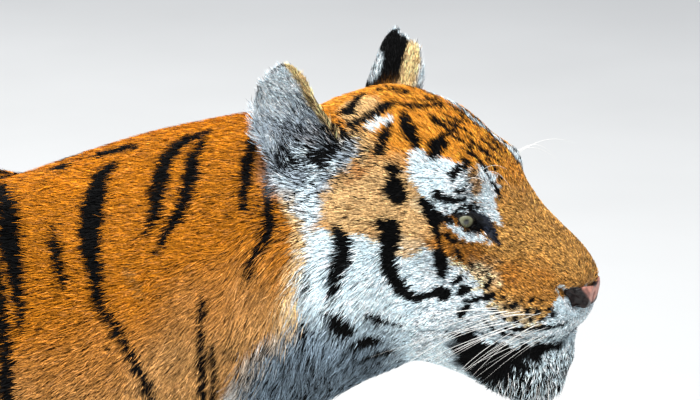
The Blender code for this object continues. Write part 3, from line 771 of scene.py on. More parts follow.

# Black marks of the head in mm in its frame: x, distance from the middle plane, z, half width.
HEAD_MARKS = (
    ((-172, 62, 88, 6), (-156, 66, 90, 4)),
    ((-156, 59, 75, 3.5), (-157, 45, 82, 5), (-159, 24, 88, 4.5)),
    ((-148, 73, 68, 2.5), (-136, 70, 74, 3.5), (-128, 60, 83, 5.5), (-122, 48, 90, 6.5), (-118, 36, 94, 4)),
    ((-101, 89, 53, 3.5), (-102, 81, 65, 5.5), (-103, 72, 74, 5), (-103, 62, 82, 2)),
    ((-98, 45, 91, 3), (-90, 56, 85, 5.5), (-77, 64, 78, 7), (-68, 69, 71, 4.5)),
    ((-47, 67, 65, 5), (-48, 61, 73, 9), (-45, 54, 79, 8)),
    ((-80, 91, 42, 8), (-79, 91, 42, 8)),
    ((-73, 96, 25, 11), (-68, 95, 20, 12)),
    ((-150, 10, 98, 2), (-132, 4, 98, 2.5), (-118, 2, 99, 2)),
    ((-124, 8, 98, 2), (-108, -4, 99, 3), (-92, -16, 99, 2.5), (-78, -24, 97, 1.5)),
    ((-113, 32, 95, 2), (-99, 30, 96, 3), (-85, 16, 98, 3), (-74, 2, 98, 3), (-60, -6, 97, 2)),
    ((-106, 16, 98, 1.5), (-90, 4, 100, 2.5), (-74, -12, 98, 2)),
    ((-74, 29, 95, 1.5), (-62, 35, 91, 3.5), (-49, 34, 88, 3.5), (-38, 28, 88, 2)),
    ((-57, 25, 94, 1.5), (-46, 20, 92, 3), (-35, 15, 90, 2.5), (-25, 12, 86, 1.5)),
    ((-69, 16, 96, 1.5), (-54, 11, 95, 2.5), (-40, 4, 93, 2)),
    ((-52, 46, 82, 1.5), (-39, 38, 84, 2.5), (-28, 33, 80, 2.5), (-16, 32, 75, 1.5)),
    ((-30, 20, 84, 1.5), (-18, 24, 78, 2.5), (-8, 22, 74, 2.8), (2, 18, 68, 2), (10, 14, 62, 1.5)),
    ((-26, 42, 75, 1.5), (-17, 39, 72, 2.5), (-7, 37, 67, 2.8), (5, 40, 62, 2), (13, 45, 56, 1.5)),
    ((-14, 8, 82, 1.5), (-2, 8, 76, 2.5), (8, 4, 70, 1.5)),
    ((3, 27, 66, 1.5), (12, 27, 58, 2.2), (20, 28, 50, 1.5)),
    ((-18, 51, 67, 1.5), (-12, 51, 64, 3), (-9, 54, 61, 1.5)),
    ((17, 43, 52, 1.5), (23, 38, 42, 2), (26, 36, 32, 1.5)),
    ((-18, 68, 43, 2.7), (-20, 66, 49, 4), (-18, 62, 56, 4), (-12, 57, 61, 2)),
    ((-31, 75, 25, 3.4), (-21, 70, 23, 3.8), (-12, 64, 22, 3), (-3, 60, 25, 1)),
    ((-14, 65, 33, 2), (-7, 63, 34, 2.2), (1, 59, 32, 0.6)),
    (
        (-41, 84, 14, 4), (-34, 81, 9, 6.5), (-24, 81, -1, 6.5), (-18, 83, -10, 3.5),
        (-13, 85, -19, 2.3), (-8, 85, -32, 2),
    ),
    ((-8, 84, -36, 6), (-5, 81, -50, 7), (-4, 78, -58, 4)),
    ((-22, 78, 2, 2.5), (-13, 73, 2, 2), (-6, 69, 0, 1.6)),
    ((-7, 79, -14, 1.6), (-3, 77, -17, 2.4), (3, 73, -19, 1.6), (11, 63, -21, 0.4)),
    (
        (-77, 111, -15, 3), (-62, 105, -18, 10.5), (-61, 104, -36, 9.5), (-60, 103, -56, 8.5),
        (-51, 96, -76, 7.5), (-40, 87, -91, 6.5), (-28, 82, -94, 4.5), (-13, 81, -86, 2.5), (0, 78, -77, 6),
    ),
    (
        (-117, 124, -30, 4), (-104, 128, -44, 10), (-102, 130, -63, 10), (-106, 130, -82, 7),
        (-104, 129, -98, 8), (-107, 126, -113, 3),
    ),
    ((-106, 119, -134, 7), (-95, 114, -142, 13), (-86, 109, -151, 9)),
    ((-142, 125, -96, 2.5), (-139, 124, -108, 4), (-137, 122, -121, 2)),
    ((-141, 118, -150, 2.5), (-136, 113, -166, 4), (-131, 108, -184, 3.5), (-123, 100, -204, 2.5)),
    ((-121, 106, -190, 2), (-120, 87, -220, 3.5), (-126, 55, -252, 3)),
    ((-78, 99, -168, 4.5), (-69, 89, -163, 7.5), (-61, 75, -162, 4)),
    ((-74, 80, -189, 2.5), (-65, 63, -184, 5), (-53, 55, -177, 4)),
    ((-68, 104, -125, 2.7), (-63, 92, -131, 3.8), (-53, 79, -135, 2), (-38, 74, -134, 1)),
    ((24, 70, -101, 3), (26, 70, -95, 4), (29, 68, -88, 2.2)),
    ((20, 71, -73, 4.8), (23, 69, -70, 4.8)),
    ((1, 77, -81, 5.5), (7, 76, -78, 4.5)),
    ((9, 73, -66, 2.5), (12, 71, -63, 3.5), (15, 69, -59, 2.3)),
    ((25, 70, -82, 1.8), (33, 65, -80, 2.2), (40, 59, -77, 2.2), (47, 56, -74, 3), (50, 54, -70, 1.6)),
    ((40, 56, -64, 2), (42, 54, -61, 2.6), (44, 53, -56, 1.6)),
    ((4, 72, -27, 1.5), (8, 70, -34, 2.5), (11, 68, -39, 1.5)),
    ((20, 62, -40, 1.5), (24, 60, -45, 2)),
)
# Small dark dots from which the whiskers grow, in the same terms.
WHISKER_DOTS = (
    (79, 60, -71, 3.4), (74, 59, -75, 2.2), (96, 58, -59, 2.8), (95, 60, -72, 2.8), (106, 59, -70, 3.1),
    (117, 54, -65, 2.0), (121, 52, -70, 2.6), (83, 59, -86, 3.3), (85, 60, -64, 1.8), (106, 57, -58, 1.8),
    (113, 57, -76, 2.2), (100, 60, -80, 2.2), (68, 56, -78, 1.8), (64, 54, -68, 2.0), (58, 54, -62, 1.6),
)
# Dark lines along the lip.
LIP_LINES = (
    ((54, 56, -86, 1.3), (62, 54, -89, 2.0), (69, 55, -91, 1.6)),
    (
        (72, 48, -103, 1.6), (84, 54, -99, 2.4), (99, 57, -93, 2.5), (111, 55, -88, 2.4),
        (123, 50, -84, 1.9), (134, 39, -80, 1.0),
    ),
    (
        (47, 55, -101, 0.6), (54, 46, -110, 1.0), (66, 43, -113, 1.4), (82, 44, -109, 1.8),
        (100, 46, -104, 1.8), (113, 46, -99, 1.4), (123, 42, -95, 0.6),
    ),
)
# White strokes of the head over brow, under eye and before the ear, in the same terms.
WHITE_MARKS = (
    ((-58, 76, 57, 12), (-40, 70, 48, 19), (-14, 60, 44, 19), (6, 50, 40, 15)),
    ((-60, 80, 46, 8), (-44, 80, 30, 10), (-26, 75, 22, 9), (-10, 64, 20, 7), (2, 57, 22, 6)),
    ((15, 49, 32, 7), (22, 46, 21, 8), (28, 44, 12, 6), (35, 44, 5, 3)),
    (
        (-12, 73, 0, 2.6), (-5, 71, -4, 4), (3, 66, -10, 5), (12, 61, -13, 5.2),
        (20, 54, -13, 4), (30, 51, -15, 2.4),
    ),
    ((-122, 74, 73, 4), (-116, 66, 80, 7), (-110, 58, 85, 5)),
    (
        (-34, 79, 14, 4), (-22, 73, 12, 6), (-10, 66, 13, 6), (0, 60, 15, 6),
        (9, 54, 16, 6.5), (20, 50, 13, 6),
    ),
    ((4, 46, 54, 8), (14, 40, 50, 8), (18, 40, 40, 7), (16, 46, 28, 6)),
    ((57, 54, -91, 1.6), (72, 54, -95, 2.2), (89, 58, -90, 1.8), (110, 57, -81, 1.8), (126, 49, -77, 1.6)),
)
# White fringe of the far brow, which stands out beyond the forehead on the left side only.
FAR_BROW = (
    (-104, 44, 92, 8), (-80, 38, 92, 8), (-56, 30, 93, 7), (-30, 28, 86, 9),
    (-8, 34, 70, 8), (12, 34, 56, 8),
)
# Pale hair before the ear and long white hair under it, greyed in pockets by painted shade and by some grey
# hair: centre and half sizes in mm.
GREY_PLACES = (
    ((-164, 96, 20), (24, 30, 36)), ((-168, 114, -28), (26, 30, 34)), ((-192, 100, 10), (32, 34, 36)),
    ((-141, 94, 44), (19, 20, 17)),
)
# Pale buff places, in the same terms, and blond ones.
BUFF_PLACES = (
    ((-80, 100, 10), (50, 40, 46)), ((-112, 112, -6), (40, 40, 40)), ((-50, 88, 0), (34, 24, 30)),
    ((-128, 90, 50), (28, 24, 28)), ((-148, 56, 86), (26, 26, 22)),
)
BLOND_PLACES = (
    ((-52, 96, -40), (40, 40, 16)), ((-34, 80, 14), (14, 14, 10)), ((88, 58, -86), (40, 22, 13)),
    ((32, 62, -54), (18, 22, 17)),
)
# Darker tan on the cheekbone, the side of the muzzle and behind the eye.
MUZZLE_PLACES = (((18, 64, -34), (26, 24, 18)), ((84, 44, -46), (46, 24, 24)), ((-9, 78, -10), (9, 9, 7)))
# Deeper orange on the pad, the side of the bridge and under the eye.
RUSTY_PLACES = (((64, 49, -46), (16, 16, 12)), ((101, 42, -32), (10, 12, 7)), ((12, 66, -30), (16, 16, 7)))
# Tan hair over the inner corner of the eye.
TAN_PLACES = (((1, 59, 55), (6, 12, 11)), ((8, 57, 42), (5, 12, 11)))
# Where dark hairs stand among the pale: centre, half sizes and share.
PEPPER_PLACES = (
    ((37, 54, -50), (13, 16, 15), 0.34),
    ((4, 59, 48), (9, 14, 22), 0.42),
    ((-126, 88, 52), (30, 20, 26), 0.45),
    ((-140, 100, 30), (24, 20, 24), 0.50),
    ((-168, 104, 6), (30, 34, 26), 0.40),
    ((-176, 108, -34), (34, 34, 30), 0.22),
    ((10, 58, 19), (15, 14, 7), 0.5),
    ((-12, 70, 8), (10, 10, 6), 0.4),
    ((26, 66, -58), (26, 16, 18), 0.10),
    ((88, 56, -78), (36, 20, 16), 0.14),
)
# The upper edge of the white cheek and lips, and its rear edge: x and z in mm.
WHITE_TOP = (
    (-200, -80), (-157, -53), (-142, -44), (-125, -37), (-102, -37), (-85, -32), (-60, -40), (-44, -48),
    (-34, -38), (-18, -31), (-7, -37), (1, -43), (22, -52), (37, -67), (50, -80), (60, -90), (75, -96),
    (100, -93), (112, -88), (117, -74), (119, -58), (121, -45), (150, -44),
)
WHITE_REAR = (
    (-262, -205), (-228, -190), (-197, -168), (-170, -156), (-120, -158), (-78, -158),
    (-50, -162), (-20, -188), (10, -205), (60, -215), (110, -215),
)
# A golden fold before the ear, an orange-brown crease below it, darker as painted shade in the crease, and
# a small dark place, in the same terms.
EAR_FOLD = ((-186, 42, 64, 5), (-176, 54, 64, 6), (-163, 70, 62, 8), (-151, 78, 60, 6))
CREASE = ((-104, 91, 51, 3), (-112, 99, 35, 4), (-118, 104, 20, 4), (-122, 107, 8, 2))
SMALL_PLACE = ((-107, 112, 0, 2.5), (-111, 116, -8, 3.3))
# Bare dark skin at the inner corner of the eye, and the dark hair of the lids, in the same terms.
TEAR = ((10, 54, 5, 7), (14, 53, 5, 8), (22, 51, 3, 8), (32, 49, -5, 6), (42, 47, -15, 2))
LID_SHADES = (
    ((-9, 66, 7, 1.5), (-3, 61, 15, 2.5), (6, 56, 16, 2.5), (14, 52, 12, 2)),
    ((-34, 78, 10, 1.5), (-18, 74, 3, 2.5), (-9, 72, 0, 2)),
)
# Every stroke on the head by its kind.
HEAD_STROKES = {
    "black": HEAD_MARKS + LID_SHADES,
    "lip": LIP_LINES,
    "dots": [(dot,) for dot in WHISKER_DOTS],
    "white": WHITE_MARKS,
    "far": (FAR_BROW,),
    "fold": (EAR_FOLD,),
    "crease": (CREASE,),
    "small": (SMALL_PLACE,),
    "tear": (TEAR,),
}
# How far the black of the lower lip, and below it the painted shade under the upper lip and on the jaw,
# reaches below the mouth line: x and depth in mm.
BLACK_LIP_AND_SHADE = ((0, 38), (20, 55), (40, 66), (74, 60), (96, 44), (115, 31), (131, 13), (142, 4))

# Stripes of the neck and shoulder: x in mm, degrees above the side, half width in mm.
NECK_MARKS = (
    ((470, 86, 7), (488, 71, 10), (498, 57, 12), (508, 45, 8), (514, 34, 5), (516, 24, 2)),
    ((484, 50, 5), (490, 40, 6), (496, 26, 8), (500, 12, 8), (501, 2, 8), (505, -14, 7), (504, -34, 3)),
    ((544, 58, 3), (549, 49, 4.5), (561, 36, 3)),
    (
        (606, 75, 5), (592, 71, 10), (589, 62, 13), (588, 52, 12), (595, 39, 8.5), (599, 27, 5),
        (616, 14, 3.5), (632, 0, 3), (646, -15, 2.5), (658, -29, 2),
    ),
    ((537, 86, 6), (548, 84, 6)),
    ((582, 84, 5), (604, 83, 7), (626, 81, 4)),
    ((708, 77, 5), (684, 76, 8), (667, 69, 10), (661, 59, 9), (661, 49, 6), (650, 44, 2.5)),
    ((706, 72, 5), (697, 64, 8), (696, 55, 8), (688, 46, 7), (673, 40, 5), (660, 35, 2)),
    ((762, 72, 4), (757, 58, 6), (755, 48, 5), (755, 38, 2)),
    ((783, 56, 3), (780, 42, 4), (783, 32, 5), (777, 22, 7), (766, 14, 5), (759, 4, 2)),
    ((713, 6, 1.5), (713, -4, 3), (711, -20, 3.2), (710, -48, 3)),
    ((722, -20, 1.5), (724, -34, 2.2), (721, -50, 2)),
)
FAINT_NECK_MARKS = (((629, 35, 2.5), (640, 26, 3), (650, 16, 2)),)
# Where the white of the underside begins: x in metres and degrees above the side.
WHITE_BELOW = (
    (-0.5, -38), (-0.2, -36), (0.30, -44), (0.50, -62), (0.62, -68),
    (0.70, -62), (0.73, -52), (0.745, -43), (0.76, -38), (0.80, -32),
)
# The rings of the tail: lengths along it in metres, and where its black tip begins.
TAIL_RINGS = (0.10, 0.18, 0.255, 0.335, 0.42, 0.505, 0.59, 0.675, 0.76, 0.84, 0.915)
TAIL_TIP = 0.985


def stroke(points, rows, pad=0.012):
    """How far each point is outside a stroke: its distance from a line, less the half width there."""
    rows = np.atleast_2d(np.array(rows, float))
    rows = np.vstack([rows, rows]) if len(rows) == 1 else rows
    spots, widths = rows[:, :-1], rows[:, -1]
    margin = widths.max() + pad
    near = ((points > spots.min(0) - margin) & (points < spots.max(0) + margin)).all(1)
    found = np.full(len(points), 1.0)
    inside = points[near]
    best = np.full(len(inside), 1.0)
    for a, b, wide, wide_end in zip(spots[:-1], spots[1:], widths[:-1], widths[1:]):
        step = b - a
        t = np.clip(((inside - a) @ step) / max(step @ step, 1e-12), 0, 1)
        gap = np.linalg.norm(inside - a - t[:, None] * step, axis=1) - (wide + t * (wide_end - wide))
        best = np.minimum(best, gap)
    found[near] = best
    return found


def nearest_stroke(points, strokes):
    """The least distance outside any of the strokes."""
    found = np.full(len(points), 1.0)
    for rows in strokes:
        found = np.minimum(found, stroke(points, rows))
    return found


def within(points, places, soft):
    """1 inside the nearest ellipsoid and 0 outside, with an edge as soft as a share of its size."""
    most = np.zeros(len(points))
    for centre, size in places:
        gap = np.linalg.norm((points - np.array(centre) * MM) / (np.array(size) * MM), axis=1)
        most = np.maximum(most, 1 - smoothstep(gap, 1 - soft, 1 + soft))
    return most


def mixed(base, colour, share):
    """A blend of colours by each point's share."""
    return base * (1 - share[:, None]) + colour * share[:, None]


def ruffled(points, amount, size, seed):
    """Points pushed about by smooth noise, so that the edges of marks are uneven."""
    shift = np.stack([drift(points, size, seed + i) for i in range(points.shape[1])], 1)
    return points + shift * amount


def laid(rows, tree):
    """The rows of a mark in metres, each moved to the nearest place of the right side's outer surface."""
    made = []
    for x, y, z, wide in rows:
        spot = from_head(np.array((x, -y, z)) * MM)
        spot = to_head(np.array(tree.find_nearest(Vector(spot))[0])[None])[0]
        made.append((spot[0], -spot[1], spot[2], wide * MM))
    return made


def laid_marks(tree):
    """Every mark of the head by its kind, laid on the coat's outer surface."""
    return {kind: [laid(rows, tree) for rows in marks] for kind, marks in HEAD_STROKES.items()}


def head_colours(row_points):
    """Colours of the head, with its own marks, mirrored and then made uneven on the two sides."""
    p = to_head(row_points)
    q = both_sides(p)
    far = smoothstep(p[:, 1], 0.0, 0.02)[:, None]
    q = q * (1 - far) + ruffled(q + (0.003, 0, -0.002), 3.0 * MM, 60 * MM, 31) * far
    fuzzy = ruffled(q, 1.3 * MM, 8 * MM, 41)
    soft = ruffled(q, 4 * MM, 16 * MM, 45)
    x, _, z = soft.T
    # The top of the head is a brighter orange: partly its own colour, partly painted light from above.
    colour = mixed(np.tile(ORANGE, (len(p), 1)), CROWN, smoothstep(z, 0.030, 0.065))
    colour = mixed(colour, BRIDGE, smoothstep(x, -0.03, 0.05) * (1 - 0.6 * smoothstep(z, 0.030, 0.060)))
    colour = mixed(colour, MUZZLE, 0.85 * within(soft, MUZZLE_PLACES, 0.5))
    colour = mixed(colour, RUSTY, 0.25 * within(soft, RUSTY_PLACES, 0.6))
    colour = mixed(colour, BUFF, 0.9 * within(soft, BUFF_PLACES, 0.45))
    colour = mixed(colour, BLOND, 0.6 * within(soft, BLOND_PLACES, 0.5))
    # Along the crease below the ear the orange is darker: painted shade in the crease.
    crease = nearest_stroke(soft, LAID["crease"])
    colour = mixed(colour, RUSTY, 0.6 * smoothstep(-crease, -4 * MM, 1 * MM))
    top = np.interp(x, *np.array(WHITE_TOP).T * MM)
    rear = np.interp(z, *np.array(WHITE_REAR).T * MM)
    blur = 3 * MM + 7 * MM * smoothstep(x, -0.02, 0.01) * smoothstep(-x, -0.075, -0.05)
    white = smoothstep(top - z, -blur, blur)
    white = np.maximum(white, smoothstep(-z, 0.115, 0.130) * smoothstep(x, -0.12, -0.10))
    # White and orange hairs stand side by side where the two meet, with cream ones between.
    white = np.clip(white + 1.6 * white * (1 - white) * drift(q, 1.8 * MM, 53), 0, 1)
    colour = mixed(colour, BLOND, smoothstep(white, 0.05, 0.45))
    colour = mixed(colour, WHITE, smoothstep(white, 0.45, 0.85))
    colour = mixed(colour, WHITE, within(soft, GREY_PLACES, 0.3))
    # Before and under the ear the pale hair is greyed in patches: painted shade in its pockets, with some
    # grey hair.
    shaded = within(soft, GREY_PLACES[:1] + GREY_PLACES[2:], 0.4)
    shaded *= smoothstep(drift(q, 25 * MM, 47), -1.0, 0.6)
    colour = mixed(colour, POCKET_SHADE_GREY, 0.8 * shaded)
    # Low in the ruff the white hair is darkened to a blue grey: painted shade.
    colour = mixed(colour, PAINTED_RUFF_SHADE, 0.85 * smoothstep(-z, 0.115, 0.180) * smoothstep(-x, 0.02, 0.07))
    # Long cream hair edges the ruff towards the neck.
    fringe = 1 - smoothstep(x - rear + 5 * MM * drift(q, 14 * MM, 48), 2 * MM, 20 * MM)
    fringe = fringe * smoothstep(-z, 0.005, 0.030) * (1 - 0.6 * smoothstep(-z, 0.15, 0.19))
    colour = mixed(colour, BUFF, fringe)
    uneven = ruffled(q, 2 * MM, 9 * MM, 49)
    pale = nearest_stroke(uneven, LAID["white"])
    pale = np.where(far[:, 0] > 0.5, np.minimum(pale, nearest_stroke(uneven, LAID["far"])), pale)
    colour = mixed(colour, WHITE, smoothstep(-pale, -1.5 * MM, 1.5 * MM))
    colour = mixed(colour, BRIDGE, 0.9 * within(fuzzy, TAN_PLACES, 0.4))
    small = nearest_stroke(fuzzy, LAID["small"])
    colour = mixed(colour, BROWN, 0.8 * smoothstep(-small, -1.5 * MM, 1.5 * MM))
    dark = np.minimum(nearest_stroke(fuzzy, LAID["black"]), nearest_stroke(fuzzy, LAID["dots"]))
    dark = np.minimum(dark, nearest_stroke(ruffled(q, 0.8 * MM, 12 * MM, 43), LAID["lip"]))
    colour = mixed(colour, BLACK, smoothstep(1.3 * MM - dark, -0.8 * MM, 0.8 * MM))
    tear = nearest_stroke(q, LAID["tear"])
    colour = mixed(colour, SLATE, smoothstep(-tear, -1 * MM, 1 * MM))
    colour = mixed(colour, BLACK, eye_liner(q))
    # The lower lip and the corner of the mouth are black, and further down the jaw the black is painted
    # shade; the chin below them is white.
    under = z - mouth_height(x)
    deep = np.interp(x, *np.array(BLACK_LIP_AND_SHADE).T * MM)
    lip = 5 * MM * np.exp(-(((x - 0.075) / 0.035) ** 2))  # the upper lip hangs over it
    band = smoothstep(-under - lip, 0.002, 0.005) * smoothstep(under + deep, -0.006, 0.008)
    band *= smoothstep(x, 0.006, 0.024)
    return mixed(colour, BLACK, band)


def eye_liner(q):
    """1 in and about 1.5 mm over the lids' opening, for points on the left half of the head.

    Under the eye it stops 1 mm inside the opening, where the white hair begins.
    """
    far, forward, across, tall = lid_place(q, 1)
    upper, lower = lid_edge(np.clip(across, -1, 1))
    beyond = np.maximum(np.maximum(tall - upper, lower - tall), (np.abs(across) - 1) * 0.9) * EYE_RADIUS
    thick = np.where(tall > (upper + lower) / 2, 1.5, -1.0) * MM
    near = (forward > 0) * (far < EYE_RADIUS + 0.012)
    return (1 - smoothstep(beyond - thick, -0.7 * MM, 0.7 * MM)) * near


def in_plane(x, angle):
    """Body coordinates as lengths in metres."""
    return np.stack([x, angle * AROUND], 1)


def as_plane(rows):
    """A table of marks in mm, degrees and mm as lengths in metres."""
    rows = np.atleast_2d(np.array(rows, float))
    return np.stack([rows[:, 0] * MM, np.radians(rows[:, 1]) * AROUND, rows[:, 2] * MM], 1)


def trunk_marks(side):
    """Stripes of one flank, from the back down to the belly.

    Each leans, swells and tapers its own way, and there are loops, breaks and short ones between.
    """
    rng = np.random.default_rng(7 if side > 0 else 11)
    shared = np.random.default_rng(5)
    marks = []
    for x in np.arange(-500, 470, 62.0):
        x = x + shared.uniform(-14, 14)
        lean, curl = rng.uniform(-35, 35), rng.uniform(-14, 14)
        end = rng.uniform(-38, -5)
        wide = rng.uniform(5.5, 9.5) * (0.75 if x > 250 else 1)
        angles = np.linspace(89, end, 8)
        share = (89 - angles) / (89 - end)
        places = x + lean * share + curl * np.sin(share * rng.uniform(3, 6)) + rng.normal(0, 2.5, 8)
        widths = wide * np.array((0.6, 0.95, 1.0, 1.1, 1.0, 0.8, 0.55, 0.2))
        kind = rng.choice(["whole", "loop", "broken"], p=[0.35, 0.4, 0.25])
        rows = np.stack([places, angles, widths], 1)
        if kind == "loop":
            offset = rng.uniform(17, 26) * np.sin(np.clip(share * 1.25, 0, 1) * np.pi)
            marks.append(rows * (1, 1, 0.75))
            twin = rows + np.stack([offset, np.zeros(8), np.zeros(8)], 1)
            marks.append((twin * (1, 1, 0.7))[:7])
        elif kind == "broken":
            marks += [rows[:4] * (1, 1, 0.9), rows[4:] + (rng.uniform(-10, 10), 0, 0)]
        else:
            marks.append(rows)
        if rng.random() < 0.55:
            start = rng.uniform(5, 30)
            low = np.linspace(start, start - rng.uniform(25, 45), 4)
            place = x + 31 + np.cumsum(rng.uniform(-5, 5, 4))
            marks.append(np.stack([place, low, np.array((1.5, 4, 4, 1.5))], 1))
    return [as_plane(rows) for rows in marks]


def side_marks(side):
    """All marks of neck and trunk on one side: the left has the right's on the neck, a little moved."""
    neck = NECK_MARKS
    if side > 0:
        neck = [[(x + 6 * math.sin(x / 40), a - 2, w * 0.95) for x, a, w in rows] for rows in NECK_MARKS]
    return [as_plane(rows) for rows in neck] + trunk_marks(side)


def body_colours(points):
    """Colours of neck and trunk: orange above, paler down the sides, white below, striped."""
    x, angle, side = on_body(points)
    flat = in_plane(x, angle)
    fuzzy = ruffled(flat, 1.8 * MM, 11 * MM, 51)
    a = np.degrees(angle) + 5 * drift(points, 90 * MM, 61)
    # Along the top the orange is deeper and brighter: partly the back's own colour, partly painted light
    # from above.
    colour = mixed(np.tile(ORANGE, (len(points), 1)), DEEP_ORANGE, 0.6 * smoothstep(a, 55, 85))
    colour = mixed(colour, TAN, smoothstep(-a, -30, 30) * 0.8)
    low = np.interp(x, *np.array(WHITE_BELOW).T)
    colour = mixed(colour, WHITE, smoothstep(low - a, -7, 7))
    marks = np.full(len(points), 1.0)
    for one in (1, -1):
        chosen = side == one
        marks[chosen] = nearest_stroke(fuzzy[chosen], side_marks(one))
    faint = nearest_stroke(fuzzy, [as_plane(rows) for rows in FAINT_NECK_MARKS])
    colour = mixed(colour, BROWN, 0.6 * smoothstep(-faint, -1.5 * MM, 1.5 * MM))
    return mixed(colour, BLACK, smoothstep(1.2 * MM - marks, -1.0 * MM, 1.0 * MM))


CLEFTS = (-0.45, 0.0, 0.45)  # the gaps between the toes, as shares of a paw's half width
CLEFT_DEPTH = 4.5 * MM


def toe_cleft(points):
    """How near each point is to a gap between two toes: 1 in its middle, on the front of a paw."""
    most = np.zeros(len(points))
    for foot in FEET:
        low, high = (np.array(corner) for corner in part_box(foot))
        long, half = high[0] - low[0], (high[1] - low[1]) / 2
        across = (points[:, 1] - (low[1] + high[1]) / 2) / half
        reach = smoothstep(points[:, 0], high[0] - 0.42 * long, high[0] - 0.20 * long)
        reach = reach * (points[:, 0] < high[0] + 0.02) * smoothstep(0.085 - points[:, 2], 0, 0.03)
        for cleft in CLEFTS:
            ahead = np.clip((points[:, 0] - high[0] + 0.3 * long) / (0.3 * long), 0, 1)
            fan = cleft * (0.75 + 0.25 * ahead)
            most = np.maximum(most, reach * np.exp(-(((across - fan) * half / (3.2 * MM)) ** 2)))
    return most


def limb_colours(points, axis, side, hind):
    """Colours of a leg: orange outside, white within and down the foot, with bars that ring it in part."""
    z, turn = on_limb(points, axis)
    outward = np.sin(turn) * side  # 1 on the outer side
    soft = drift(points, 70 * MM, 71)
    colour = mixed(np.tile(ORANGE, (len(points), 1)), TAN, smoothstep(-z, -0.5, -0.2) * 0.7)
    colour = mixed(colour, BUFF, smoothstep(-z, -0.20, -0.06) * 0.8)
    colour = mixed(colour, WHITE, smoothstep(-outward + 0.15 * soft, 0.15, 0.6))
    rng = np.random.default_rng(81 if hind else 91)
    bars = np.full(len(points), 1.0)
    uneven = z + 5 * MM * drift(points, 30 * MM, 73 + int(hind)) + 3 * MM * side
    levels = np.arange(0.17, 0.62, 0.052) if hind else np.arange(0.20, 0.56, 0.075)
    for level in levels:
        tilt, middle = rng.uniform(-0.03, 0.03), rng.uniform(-0.6, 0.8) + (1.9 if hind else 2.6)
        reach = rng.uniform(0.9, 1.5)
        gap = np.abs(np.angle(np.exp(1j * (turn * side - middle)))) / reach
        wide = (7.5 if hind else 5.5) * MM * np.clip(1 - gap**2, 0, 1) ** 0.5
        across = np.abs(uneven - level - tilt * np.sin(turn)) - wide
        bars = np.minimum(bars, np.where(gap < 1, across, 1.0))
    # The gaps between the toes are darkened: painted shade.
    colour = mixed(colour, BROWN * 0.25, 0.85 * toe_cleft(points))
    return mixed(colour, BLACK, smoothstep(-bars, -1 * MM, 1 * MM))


def tail_colours(points):
    """Colours of the tail: orange above, white below, ringed, with a black tip."""
    along, turn, _ = on_tail(points)
    white = smoothstep(np.cos(turn), -0.2, 0.5) * 0.8 + 0.2 * smoothstep(along, 0.7, 1.0)
    colour = mixed(np.tile(ORANGE, (len(points), 1)), WHITE, white)
    uneven = along + 5 * MM * drift(points, 40 * MM, 87)
    rings = np.full(len(points), 1.0)
    for i, place in enumerate(TAIL_RINGS):
        rings = np.minimum(rings, np.abs(uneven - place) - (6 + 0.9 * i) * MM)
    rings = np.minimum(rings, TAIL_TIP - uneven)
    return mixed(colour, BLACK, smoothstep(-rings, -1.2 * MM, 1.2 * MM))


# Each ear in the head's frame: its root, its tip and where it opens.
EARS = {
    1: [np.array(v) for v in ((-0.170, 0.086, 0.008), (-0.188, 0.116, 0.126), (0.50, 0.86, 0.05))],
    -1: [np.array(v) for v in ((-0.170, -0.086, 0.008), (-0.213, -0.120, 0.128), (0.36, -0.92, 0.12))],
}
WHORL = np.array((-0.165, 0.098, 0.004))  # from where the hair in the ear fans out
SPOT_SHIFT = 0.010  # how far the white spot lies behind the middle of the ear
# Painted shade in the hollows of the ear, in mm in the head's frame: centre, half sizes and depth of the
# shade.
EAR_SHADES = (
    ((-152, 88, 52), (20, 26, 16), 1.0),
    ((-168, 92, 40), (26, 26, 18), 0.85),
    ((-190, 100, 40), (18, 26, 22), 0.6),
    ((-194, 98, 14), (16, 26, 14), 1.0),
    ((-180, 106, 74), (22, 30, 16), 0.35),
)
# How far the ear's slanting edge, with its golden strip, lies from its stem: share of its length and mm.
EAR_EDGE = ((0.0, 44), (0.18, 44), (0.4, 33), (0.62, 20), (0.8, 16), (1.0, 5))


def ear_share(head_points, side):
    """(share up the ear, distance ahead of its middle, distance across it) in the head's frame."""
    root, tip, facing = EARS[side]
    stem = tip - root
    axis = unit(stem)
    ahead = unit(facing - (facing @ axis) * axis)
    offset = head_points - root
    return offset @ stem / (stem @ stem), offset @ ahead, offset @ np.cross(axis, ahead)


def ear_hollow(head_points):
    """How deep in shade each place in and before the ears is, for points in the head's frame."""
    even = ruffled(both_sides(head_points), 4 * MM, 14 * MM, 99)
    most = np.zeros(len(even))
    for centre, size, deep in EAR_SHADES:
        most = np.maximum(most, deep * within(even, ((centre, size),), 0.5))
    return most


